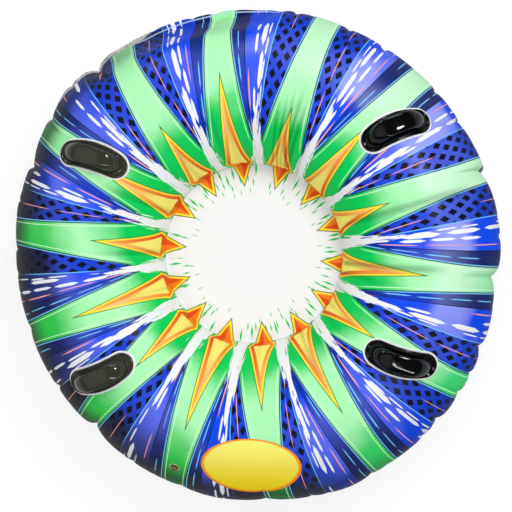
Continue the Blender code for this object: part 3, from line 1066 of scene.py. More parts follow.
class ShapeTree:
    """A Geometry Nodes tree under construction, with named inputs."""

    def __init__(self, name: str) -> None:
        """Start a tree.

        Args:
            name: The tree's name.
        """
        self.tree = bpy.data.node_groups.new(name, "GeometryNodeTree")
        self.tree.is_modifier = True
        self.tree.interface.new_socket("Geometry", in_out="INPUT", socket_type="NodeSocketGeometry")
        self.tree.interface.new_socket("Geometry", in_out="OUTPUT", socket_type="NodeSocketGeometry")
        self.entry = self.tree.nodes.new("NodeGroupInput")
        self.exit = self.tree.nodes.new("NodeGroupOutput")

    def size(self, name: str, kind: str = "NodeSocketFloat") -> Any:
        """Add a named input and return what it carries.

        Args:
            name: The input's name.
            kind: Its socket type.

        Returns:
            A Signal for a number, and a socket for anything else.
        """
        self.tree.interface.new_socket(name, in_out="INPUT", socket_type=kind)
        socket = self.entry.outputs[name]
        return Signal(self.tree, socket) if kind == "NodeSocketFloat" else socket

    def node(self, kind: str, options: Optional[dict[str, Any]] = None,
             **inputs: Any) -> bpy.types.Node:
        """Add a node.

        Args:
            kind: Its type.
            options: Its settings.
            **inputs: What feeds its inputs, with underscores for spaces.

        Returns:
            The node.
        """
        made = self.tree.nodes.new(kind)
        for name, value in (options or {}).items():
            setattr(made, name, value)
        for name, value in inputs.items():
            feed(self.tree, made.inputs[name.replace("_", " ")], value)
        return made

    def finish(self, geometry: Socket, material: Socket) -> None:
        """End the tree with real geometry in one material.

        Args:
            geometry: The last geometry socket.
            material: The material input.
        """
        real = self.node("GeometryNodeRealizeInstances", Geometry=geometry)
        painted = self.node("GeometryNodeSetMaterial", Geometry=real.outputs[0], Material=material)
        self.tree.links.new(painted.outputs[0], self.exit.inputs[0])

    def grow(self, piece: Piece, **values: Any) -> Piece:
        """Run the tree on a piece and keep the result as a plain mesh.

        Args:
            piece: The piece.
            **values: The tree's inputs, with underscores for spaces.

        Returns:
            The same piece.
        """
        modifier = piece.modifiers.new(self.tree.name, "NODES")
        modifier.node_group = self.tree
        for item in self.tree.interface.items_tree:
            key = item.name.replace(" ", "_")
            if item.in_out == "INPUT" and key in values:
                modifier[item.identifier] = values[key]
        return settle(piece)


def section_tree() -> ShapeTree:
    """Tree that makes one half of the inflated ring as a grid, from the inner weld to the outer.

    Returns:
        The tree. It stores each point's angle from the crown as the attribute slope.
    """
    shape = ShapeTree("inflated half ring")
    ring, wide, high, seam, side, bulge, pinch, crowd = (shape.size(name) for name in (
        "Ring Radius", "Half Width", "Half Height", "Seam Height", "Side", "Lobe Bulge",
        "Seam Pinch", "Rim Crowding"))
    columns = shape.size("Columns", "NodeSocketInt")
    rows = shape.size("Rows", "NodeSocketInt")
    material = shape.size("Material", "NodeSocketMaterial")
    grid = shape.node("GeometryNodeMeshGrid", Size_X=1.0, Size_Y=1.0, Vertices_X=columns,
                      Vertices_Y=rows)
    place = shape.node("GeometryNodeInputPosition")
    apart = shape.node("ShaderNodeSeparateXYZ", Vector=place.outputs[0])
    turn = (Signal(shape.tree, apart.outputs[0]) + 0.5) * math.tau
    run = Signal(shape.tree, apart.outputs[1]) + 0.5
    run = run + crowd * run * (1.0 - run)
    slope = (run - 0.5) * math.pi
    sine, cosine = slope.math("SINE"), slope.math("COSINE")
    lobe = slope.step(*LOBE_SPAN) * bulge
    tuck = slope.step(*PINCH_SPAN) * pinch
    radius = ring + (wide + lobe) * sine - tuck
    height = seam + side * high * cosine
    put = shape.node("ShaderNodeCombineXYZ", X=radius * turn.math("COSINE"),
                     Y=radius * turn.math("SINE"), Z=height)
    kept = shape.node("GeometryNodeStoreNamedAttribute",
                      {"data_type": "FLOAT", "domain": "POINT"},
                      Geometry=grid.outputs["Mesh"], Name="slope", Value=slope)
    moved = shape.node("GeometryNodeSetPosition", Geometry=kept.outputs[0],
                       Position=put.outputs[0])
    closed = shape.node("GeometryNodeMergeByDistance", Geometry=moved.outputs[0], Distance=1e-5)
    shape.finish(closed.outputs[0], material)
    return shape


def ribs_tree() -> ShapeTree:
    """Tree that sets small pressed ribs across a path, evenly spaced.

    Returns:
        The tree. Its geometry input is the path, a closed loop of edges.
    """
    shape = ShapeTree("pressed weld ribs")
    count = shape.size("Count", "NodeSocketInt")
    length, width, height = (shape.size(name) for name in ("Length", "Width", "Rise"))
    material = shape.size("Material", "NodeSocketMaterial")
    curve = shape.node("GeometryNodeMeshToCurve", Mesh=shape.entry.outputs[0])
    even = shape.node("GeometryNodeResampleCurve", Curve=curve.outputs[0], Count=count)
    tangent = shape.node("GeometryNodeInputTangent")
    bead = shape.node("GeometryNodeMeshUVSphere", Segments=8, Rings=4, Radius=1.0)
    sizes = shape.node("ShaderNodeCombineXYZ", X=width * 0.5, Y=length * 0.5, Z=height)
    scaled = shape.node("GeometryNodeTransform", Geometry=bead.outputs["Mesh"],
                        Scale=sizes.outputs[0])
    along = shape.node("FunctionNodeAlignRotationToVector", {"axis": "X"},
                       Vector=tangent.outputs[0])
    level = shape.node("FunctionNodeAlignRotationToVector", {"axis": "Z", "pivot_axis": "X"},
                       Rotation=along.outputs[0], Vector=(0.0, 0.0, 1.0))
    placed = shape.node("GeometryNodeInstanceOnPoints", Points=even.outputs[0],
                        Instance=scaled.outputs[0], Rotation=level.outputs[0])
    shape.finish(placed.outputs[0], material)
    return shape


# The inflated ring


FLAT_MAP = "flat_sheet"
FLAT_SPAN = 1.30
# Mesh attribute of crease depth from 0 to 1, by which the print paints shade into the creases
CREASE_SHADE = "pressed"

# Angles from the crown between which the lobes bulge and the seam is pinched
LOBE_SPAN = (math.radians(38.0), math.radians(74.0))
PINCH_SPAN = (math.radians(79.0), math.radians(90.0))


@dataclass(frozen=True)
class Fold:
    """One gather of the film at the outer weld.

    Attributes:
        bearing: Direction from the middle, in degrees.
        depth: How far it draws the rim in, in metres.
        behind: How wide it runs out clockwise, in degrees.
        ahead: How wide it runs out anticlockwise, in degrees.
        reach: Angle from the crown at which it has faded out, in degrees.
        lean: How far it leans round the ring on its way in, in degrees.
    """

    bearing: float
    depth: float
    behind: float
    ahead: float
    reach: float
    lean: float = 0.0


@dataclass(frozen=True)
class Crease:
    """A soft wrinkle that runs from the well outwards over the inner slope."""

    bearing: float
    depth: float
    width: float
    start: float
    end: float
    lean: float = 0.0


SEEN_FOLDS = (
    Fold(0.7, 0.0028, 0.7, 0.5, 54.0), Fold(16.5, 0.0165, 3.2, 0.45, 40.0, 1.5),
    Fold(29.4, 0.0085, 1.5, 0.40, 46.0, 1.0), Fold(38.1, 0.0064, 1.3, 0.40, 50.0),
    Fold(53.8, 0.0080, 0.7, 0.6, 44.0), Fold(62.6, 0.0036, 0.6, 0.8, 50.0),
    Fold(75.6, 0.0070, 1.5, 0.5, 48.0, 1.0), Fold(95.6, 0.0040, 0.9, 0.7, 52.0),
    Fold(101.2, 0.0034, 0.8, 0.6, 54.0), Fold(127.2, 0.0150, 1.3, 1.0, 30.0, -3.5),
    Fold(134.2, 0.0046, 0.8, 0.6, 48.0), Fold(143.0, 0.0095, 1.7, 0.8, 42.0, 1.0),
    Fold(154.8, 0.0150, 2.0, 0.6, 42.0, 1.0), Fold(163.7, 0.0040, 1.0, 0.6, 52.0),
    Fold(175.4, 0.0052, 1.6, 0.5, 48.0), Fold(181.3, 0.0036, 0.8, 1.2, 54.0),
    Fold(195.2, 0.0058, 2.2, 2.0, 44.0), Fold(211.0, 0.0078, 0.9, 0.7, 44.0),
    Fold(224.6, 0.0200, 1.6, 3.0, 36.0, -1.0), Fold(236.8, 0.0040, 1.4, 0.40, 52.0),
    Fold(249.6, 0.0030, 1.4, 1.4, 50.0), Fold(270.1, 0.0044, 1.6, 1.6, 46.0),
    Fold(281.0, 0.0034, 1.2, 1.0, 52.0), Fold(295.6, 0.0046, 1.4, 1.0, 48.0),
    Fold(310.0, 0.0040, 0.9, 1.1, 34.0, 2.0), Fold(314.9, 0.0095, 1.9, 1.1, 36.0, 2.5),
    Fold(323.3, 0.0070, 1.8, 0.8, 44.0), Fold(328.7, 0.0072, 0.9, 0.5, 42.0, -1.0),
    Fold(334.9, 0.0112, 1.3, 1.3, 40.0), Fold(351.5, 0.0165, 3.2, 1.5, 36.0))

# Bearing in degrees, and millimetres that the rim stands outside its even circle there
RIM_SWELL = (
    (0, 1.4), (10, 0.7), (25, -3.0), (50, -4.5), (65, -4.3), (78, -1.3), (92, 4.0), (110, 6.8),
    (125, 13.0), (134, 20.0), (141, 17.4), (150, 8.8), (160, 0.6), (175, -7.6), (190, -9.4),
    (205, -9.0), (222, -9.4), (240, -3.9), (250, -0.8), (258, 3.8), (270, 1.2), (280, 6.4),
    (290, 10.3), (300, 4.9), (312, 5.1), (322, 4.2), (330, 2.2), (336, 1.6), (346, -2.6),
    (359, 1.4))

# Bearing in degrees, and millimetres of the lip that show from above outside the bulging tube
LIP_SHOWN = ((0, 0), (78, 0), (88, 9), (96, 14), (104, 12.5), (111, 11), (114, 10), (117, 6.5),
             (126, 5), (129, 4), (140, 3.5), (152, 2.5), (158, 1.5), (164, 0), (360, 0))

SEEN_CREASES = (
    Crease(62.4, 0.0018, 1.0, -70.0, 6.0, 1.5), Crease(64.8, 0.0029, 0.9, -78.0, 10.0, 1.5),
    Crease(67.2, 0.0028, 0.8, -78.0, 8.0, 1.5), Crease(69.6, 0.0027, 0.9, -78.0, 4.0, 1.0),
    Crease(72.2, 0.0020, 1.0, -74.0, 0.0, 1.0), Crease(57.0, 0.0016, 1.2, -84.0, -6.0, 1.0),
    Crease(14.0, 0.0022, 1.6, -60.0, 62.0, -1.0), Crease(-8.0, 0.0024, 1.5, -74.0, 30.0, 1.0),
    Crease(-14.0, 0.0012, 1.4, -80.0, -10.0), Crease(100.0, 0.0012, 1.5, -80.0, -6.0),
    Crease(-60.0, 0.0012, 1.4, -82.0, 0.0), Crease(176.0, 0.0012, 1.4, -82.0, -8.0),
    Crease(-128.0, 0.0012, 1.4, -82.0, -4.0), Crease(150.0, 0.0014, 1.4, -82.0, 0.0))

# Share of the inner weld's radius, and metres that the floor is pressed in there
SEAT_RINGS = ((0.990, 0.0), (0.985, 0.0004), (0.955, 0.0004), (0.949, 0.0), (0.84, 0.0),
              (0.70, 0.0), (0.52, 0.0), (0.32, 0.0), (0.14, 0.0))


def round_the_rim(knots: Sequence[tuple[float, float]], turn: np.ndarray,
                  soften: int = 45) -> np.ndarray:
    """Smooth curve round the rim through a few knots.

    Args:
        knots: Bearings in degrees, with a value in millimetres at each.
        turn: Bearings to read, in radians.
        soften: Twelfths of a degree over which corners are rounded.

    Returns:
        The values in metres.
    """
    fine = np.arange(4320) / 12.0
    places = [bearing for bearing, _ in knots]
    values = np.interp(fine, places, [value / 1000.0 for _, value in knots], period=360.0)
    window = np.hanning(2 * soften + 3)[1:-1]
    spread = np.concatenate([values[-soften:], values, values[:soften]])
    smooth = np.convolve(spread, window / window.sum(), mode="valid")
    return np.interp(np.degrees(turn) % 360.0, fine, smooth, period=360.0)


@dataclass
class InflatedRing:
    """The two welded sheets, blown up: crown, gathers, creases, pinched seam, lip and floor."""

    ring_radius: float = 0.310
    half_width: float = 0.142
    half_height: float = 0.141
    seam_height: float = 0.1389
    foot_rise: float = 0.003
    lobe_bulge: float = 0.0075
    slack: float = 0.012
    seam_pinch: float = 0.0115
    rim_crowding: float = 0.55
    lip: float = 0.0075
    lip_wave: float = 0.0022
    # Crease depth at which the creases' painted shade is full
    crease_shade_depth: float = 0.0026
    rib_place: float = 0.967
    rib_sink: float = 0.0004
    rib_count: int = 300
    rib_size: Point = (0.0042, 0.0012, 0.0003)
    columns: int = 880
    rows: int = 46
    fewest_facets: int = 90
    crowd_samples: int = 14401
    crowd_weight: float = 400.0
    crowd_width: float = math.radians(1.4)
    small_folds: int = 40
    small_creases: int = 34
    seed: int = 7

    def __post_init__(self) -> None:
        """Settle the marks that the film takes, those seen and the small ones between them."""
        draw = np.random.default_rng(self.seed)
        folds = list(SEEN_FOLDS)
        for step in range(self.small_folds):
            bearing = 360.0 * (step + draw.uniform(-0.4, 0.4)) / self.small_folds
            folds.append(Fold(bearing, draw.uniform(0.0006, 0.0022), draw.uniform(0.5, 1.3),
                              draw.uniform(0.4, 1.0), draw.uniform(58.0, 76.0),
                              draw.uniform(-1.0, 1.0)))
        self.folds = tuple(folds)
        creases = list(SEEN_CREASES)
        for step in range(self.small_creases):
            bearing = 360.0 * (step + draw.uniform(-0.4, 0.4)) / self.small_creases
            creases.append(Crease(bearing, draw.uniform(0.0003, 0.0009), draw.uniform(1.1, 2.2),
                                  -86.0, draw.uniform(-50.0, -15.0), draw.uniform(-2.0, 2.0)))
        self.creases = tuple(creases)
        self.shape = section_tree()
        self.ribs = ribs_tree()

    @property
    def weld_radius(self) -> float:
        """Radius of the inner weld."""
        return self.ring_radius - self.half_width

    def weld_height(self, layer: Layer) -> float:
        """Height of a sheet's outer face at both welds."""
        return self.seam_height + layer.value * (CLEARANCE / 2 + FILM)

    def build(self, layer: Layer, material: bpy.types.Material, slot: str,
              valve: Optional["AirValve"] = None) -> Piece:
        """Make one sheet.

        Args:
            layer: Which sheet.
            material: Its finish.
            slot: The record's material slot.
            valve: The seated valve that goes through it.

        Returns:
            The finished sheet.
        """
        node = "top_sheet" if layer is Layer.TOP else "base_sheet"
        piece = mesh_object(f"{node}_film", np.zeros((0, 3)), [])
        self.shape.grow(piece, Ring_Radius=self.ring_radius, Half_Width=self.half_width + FILM,
                        Half_Height=self.half_height + FILM, Lobe_Bulge=self.lobe_bulge,
                        Seam_Height=self.seam_height + layer.value * CLEARANCE / 2,
                        Side=float(layer.value), Seam_Pinch=self.seam_pinch,
                        Rim_Crowding=self.rim_crowding, Columns=self.columns + 1, Rows=self.rows,
                        Material=material)
        self.form(piece, layer)
        self.close(piece, layer)
        if layer is Layer.TOP:
            self.top_skin = BVHTree.FromObject(piece, bpy.context.evaluated_depsgraph_get())
        if valve:
            valve.pierce(piece)
        wall = piece.modifiers.new("Film wall", "SOLIDIFY")
        wall.thickness = FILM
        wall.offset = -1.0
        settle(piece)
        dress(piece, material, "ring", slot, node)
        return piece

    def form(self, piece: Piece, layer: Layer) -> None:
        """Draw the even ring into its gathers, swells and creases, and lay the flat map on it.

        Args:
            piece: The sheet as it left the tree.
            layer: Which sheet.
        """
        mesh = piece.data
        count = len(mesh.vertices)
        places = np.empty(count * 3)
        mesh.vertices.foreach_get("co", places)
        places = places.reshape(-1, 3)
        slope = np.empty(count, np.float32)
        mesh.attributes["slope"].data.foreach_get("value", slope)
        slope = slope.astype(float)
        turn = np.arctan2(places[:, 1], places[:, 0])
        turn = self.crowd(turn)
        radius = np.hypot(places[:, 0], places[:, 1]) + self.laid_open(turn, slope)
        inward = self.drawn_in(turn, slope, layer) - self.swollen(turn, slope)
        if layer is Layer.TOP:
            creased = self.creased(turn, slope)
            inward = inward + creased
            # Keep each point's crease depth for the print's painted shade in the creases
            pressed = mesh.attributes.new(CREASE_SHADE, "FLOAT", "POINT")
            share = np.clip(creased / self.crease_shade_depth, 0.0, 1.0)
            pressed.data.foreach_set("value", share.astype(np.float32))
        radius = radius - inward * np.sin(np.maximum(slope, -math.pi / 2))
        height = places[:, 2] - layer.value * inward * np.cos(slope)
        if layer is Layer.BASE:
            height = self.grounded(height)
        moved = np.stack([radius * np.cos(turn), radius * np.sin(turn), height], axis=1)
        mesh.vertices.foreach_set("co", moved.ravel())
        self.lay_map(mesh, turn, self.weld_radius + self.half_width * (slope + math.pi / 2))
        self.turn, self.slope = turn, slope

    def crowd(self, turn: np.ndarray) -> np.ndarray:
        """Move the columns closer together at the gathers.

        Args:
            turn: Bearing of each point, in radians.

        Returns:
            The new bearings.
        """
        fine = np.linspace(-math.pi, math.pi, self.crowd_samples)
        weight = np.ones_like(fine)
        for fold in self.folds:
            away = turned_away(fine, math.radians(fold.bearing))
            weight += self.crowd_weight * fold.depth * np.exp(-(away / self.crowd_width) ** 2)
        total = np.concatenate([[0.0], np.cumsum((weight[1:] + weight[:-1]) / 2)])
        total = total / total[-1] * math.tau - math.pi
        return np.interp(turn, total, fine)

    def drawn_in(self, turn: np.ndarray, slope: np.ndarray, layer: Layer) -> np.ndarray:
        """Depth of the gathers, inwards from the round section.

        Args:
            turn: Bearing of each point.
            slope: Angle of each point from the crown.
            layer: Which sheet.

        Returns:
            The depth at each point.
        """
        total = np.zeros_like(turn)
        for number, fold in enumerate(self.folds):
            fade = math.radians(fold.reach)
            if layer is Layer.BASE:
                fade = math.radians(fold.reach + 6.0 * math.sin(2.1 * number))
            run = np.clip((slope - fade) / (math.pi / 2 - fade), 0.0, 1.0)
            lean = math.radians(fold.lean) * (1.0 - run)
            away = turned_away(turn, math.radians(fold.bearing) + lean * layer.value)
            narrow = math.radians(min(fold.behind, fold.ahead))
            width = np.radians(np.where(away < 0.0, fold.behind, fold.ahead))
            width = width * (0.45 + 0.55 * run)
            blunt = 0.3 * narrow
            valley = np.exp(-(np.sqrt(away ** 2 + blunt ** 2) - blunt) / width)
            crease = np.exp(-(away / (0.36 * narrow + 0.0018)) ** 2)
            total += fold.depth * (run ** 1.3 * valley + 0.55 * run ** 0.6 * (1.0 - run) * crease)
        return total

    def swollen(self, turn: np.ndarray, slope: np.ndarray) -> np.ndarray:
        """How far the tube's rim stands outside its even circle, less the lip that shows."""
        rim = round_the_rim(RIM_SWELL, turn) - round_the_rim(LIP_SHOWN, turn)
        return rim * rise(slope, math.radians(30.0), math.radians(80.0))

    def laid_open(self, turn: np.ndarray, slope: np.ndarray) -> np.ndarray:
        """Slack of the film where the lip shows from above: no bulge there, and no pinched seam.

        Args:
            turn: Bearing of each point.
            slope: Angle of each point from the crown.

        Returns:
            How far each point moves outwards.
        """
        share = np.clip(round_the_rim(LIP_SHOWN, turn) / 0.005, 0.0, 1.0)
        bulge = self.lobe_bulge * rise(slope, *LOBE_SPAN)
        pinch = self.seam_pinch * rise(slope, *PINCH_SPAN)
        slack = self.slack * rise(slope, math.radians(36.0), math.radians(66.0))
        slack = slack * (1.0 - rise(slope, math.radians(70.0), math.radians(90.0)))
        return share * (pinch * 0.9 - bulge - slack)

    def creased(self, turn: np.ndarray, slope: np.ndarray) -> np.ndarray:
        """Depth of the soft wrinkles over the inner slope.

        Args:
            turn: Bearing of each point.
            slope: Angle of each point from the crown.

        Returns:
            The depth at each point.
        """
        total = np.zeros_like(turn)
        for crease in self.creases:
            start, end = math.radians(crease.start), math.radians(crease.end)
            lean = math.radians(crease.lean) * (slope - start) / (end - start)
            away = turned_away(turn, math.radians(crease.bearing) + lean) / math.radians(crease.width)
            shown = rise(slope, start - 0.08, start + 0.12) * (1.0 - rise(slope, end - 0.5, end))
            total += crease.depth * shown * (np.exp(-away ** 2) - 0.6 * np.exp(-(away - 1.7) ** 2))
        return total

    def grounded(self, height: np.ndarray) -> np.ndarray:
        """Flatten the underside softly where it rests on the ground.

        Args:
            height: Height of each point.

        Returns:
            The new heights.
        """
        soft = 2.0 * self.foot_rise
        low = height <= soft
        lifted = np.where(low, soft * np.exp(height / soft - 1.0), height)
        pressed = 0.3 * soft * low * (1.0 - np.clip(height / soft, 0.0, 1.0))
        return np.maximum(lifted - pressed, 0.0001)

    def lay_map(self, mesh: bpy.types.Mesh, turn: np.ndarray, flat: np.ndarray) -> None:
        """Lay the flat sheet's own plane on the mesh as a UV map.

        Args:
            mesh: The mesh.
            turn: Bearing of each vertex.
            flat: Distance of each vertex from the middle of the flat sheet.
        """
        layer = mesh.uv_layers.get(FLAT_MAP) or mesh.uv_layers.new(name=FLAT_MAP)
        corners = np.empty(len(mesh.loops), np.int32)
        mesh.loops.foreach_get("vertex_index", corners)
        plane = np.stack([flat * np.cos(turn), flat * np.sin(turn)], axis=1) / FLAT_SPAN + 0.5
        layer.uv.foreach_set("vector", plane[corners].astype(np.float32).ravel())

    def close(self, piece: Piece, layer: Layer) -> None:
        """Add the floor inside the inner weld and the lip outside the outer weld.

        Args:
            piece: The sheet, open at both edges.
            layer: Which sheet.
        """
        order = np.argsort(self.turn)
        slope = self.slope[order]
        with editing(piece.data) as mesh:
            uv = mesh.loops.layers.uv[FLAT_MAP]
            mesh.verts.ensure_lookup_table()
            inner = [mesh.verts[i] for i in order[slope < -math.pi / 2 + 1e-4]]
            outer = [mesh.verts[i] for i in order[slope > math.pi / 2 - 1e-4]]
            for face in self.floor_faces(mesh, inner, layer) + self.lip_faces(mesh, outer, layer):
                face.smooth = True
                for loop in face.loops:
                    loop[uv].uv = self.flat_spot(loop.vert.co)
            bmesh.ops.recalc_face_normals(mesh, faces=mesh.faces)
            crown = max(mesh.faces, key=lambda face: layer.value * face.calc_center_median().z)
            if crown.normal.z * layer.value < 0.0:
                bmesh.ops.reverse_faces(mesh, faces=mesh.faces)

    def flat_spot(self, place: Vector) -> tuple[float, float]:
        """Place on the flat map of a point on the floor or the lip.

        Args:
            place: The point.

        Returns:
            Its U and V.
        """
        x, y, _ = place
        flat = math.hypot(x, y)
        stretch = 1.0
        if flat > self.ring_radius:
            full = self.weld_radius + self.half_width * math.pi
            stretch = (full + flat - self.ring_radius - self.half_width) / flat
        return x * stretch / FLAT_SPAN + 0.5, y * stretch / FLAT_SPAN + 0.5

    def floor_faces(self, mesh: bmesh.types.BMesh, edge: list[bmesh.types.BMVert],
                    layer: Layer) -> list[bmesh.types.BMFace]:
        """Fill the inner weld with a slack floor, with fewer facets towards its middle.

        Args:
            mesh: The sheet.
            edge: The vertices of the inner weld, in order.
            layer: Which sheet.

        Returns:
            The new faces.
        """
        base = self.weld_height(layer)
        faces = []
        ring = edge
        for share, sink in SEAT_RINGS:
            radius = self.weld_radius * share
            facet = math.tau * radius / len(ring)
            halve = len(ring) > self.fewest_facets and facet < 0.012 * (1.02 - share) + 0.0016
            source = ring[::2] if halve and len(ring) % 2 == 0 else ring
            new = []
            for vert in source:
                turn = math.atan2(vert.co.y, vert.co.x)
                slack = 0.0007 * math.sin(3.0 * turn + 1.0) * (1.0 - share ** 4)
                new.append(mesh.verts.new((radius * math.cos(turn), radius * math.sin(turn),
                                           base - layer.value * sink + slack)))
            faces += stitch(mesh, ring, new)
            ring = new
        middle = mesh.verts.new((0.0, 0.0, base))
        count = len(ring)
        faces += [mesh.faces.new((ring[i], ring[(i + 1) % count], middle)) for i in range(count)]
        return faces

    def lip_faces(self, mesh: bmesh.types.BMesh, edge: list[bmesh.types.BMVert],
                  layer: Layer) -> list[bmesh.types.BMFace]:
        """Add the welded lip that stands out of the seam, waved by the gathers.

        Args:
            mesh: The sheet.
            edge: The vertices of the outer weld, in order.
            layer: Which sheet.

        Returns:
            The new faces.
        """
        faces = []
        ring = edge
        base = self.weld_height(layer)
        turns = [math.atan2(vert.co.y, vert.co.x) for vert in edge]
        widths = [self.lip_width(turn) for turn in turns]
        for share in (0.12, 0.5, 0.9, 1.0):
            new = []
            for vert, turn, width in zip(edge, turns, widths):
                radius = math.hypot(vert.co.x, vert.co.y) + width * share
                new.append(mesh.verts.new((radius * math.cos(turn), radius * math.sin(turn),
                                           base + self.lip_lift(turn) * share)))
            faces += stitch(mesh, ring, new)
            ring = new
        return faces

    def lip_width(self, turn: float) -> float:
        """Width of the lip at a bearing: wider where it shows past the rim."""
        shown = float(round_the_rim(LIP_SHOWN, np.array([turn]))[0])
        return max(self.lip, shown + 0.0015) + 0.0005 * math.sin(17.0 * turn)

    def lip_lift(self, turn: float) -> float:
        """Height of the lip's edge over the seam at a bearing."""
        wave = math.sin(31.0 * turn + 2.0 * math.sin(5.0 * turn)) + 0.6 * math.sin(53.0 * turn + 1.0)
        return self.lip_wave * wave

    def weld_ribs(self, material: bpy.types.Material, slot: str) -> Piece:
        """Press a ring of small ribs into the inner weld.

        Args:
            material: Their finish.
            slot: The record's material slot.

        Returns:
            The finished piece.
        """
        name, steps = "floor_weld_ribs", 720
        radius = self.weld_radius * self.rib_place
        height = self.weld_height(Layer.TOP) - self.rib_sink
        turns = [math.tau * step / steps for step in range(steps)]
        path = bpy.data.meshes.new(name)
        path.from_pydata([(radius * math.cos(t), radius * math.sin(t), height) for t in turns],
                         [(i, (i + 1) % steps) for i in range(steps)], [])
        piece = stand(name, path)
        length, width, rib_rise = self.rib_size
        self.ribs.grow(piece, Count=self.rib_count, Length=length, Width=width, Rise=rib_rise,
                       Material=material)
        piece.data.shade_smooth()
        places = np.array([vertex.co for vertex in piece.data.vertices])
        self.lay_map(piece.data, np.arctan2(places[:, 1], places[:, 0]),
                     np.hypot(places[:, 0], places[:, 1]))
        return dress(piece, material, "ring", slot)


def stitch(mesh: bmesh.types.BMesh, first: list[bmesh.types.BMVert],
           second: list[bmesh.types.BMVert]) -> list[bmesh.types.BMFace]:
    """Join two closed loops of vertices, the second as long as the first or half as long.

    Args:
        mesh: The mesh.
        first: One loop.
        second: The other loop.

    Returns:
        The new faces.
    """
    count = len(second)
    faces = []
    if len(first) == count:
        for i in range(count):
            j = (i + 1) % count
            faces.append(mesh.faces.new((first[i], first[j], second[j], second[i])))
        return faces
    for i in range(count):
        j = (i + 1) % count
        a, b, c = first[2 * i], first[2 * i + 1], first[(2 * i + 2) % len(first)]
        faces.append(mesh.faces.new((a, b, second[i])))
        faces.append(mesh.faces.new((b, second[j], second[i])))
        faces.append(mesh.faces.new((b, c, second[j])))
    return faces


# The handles


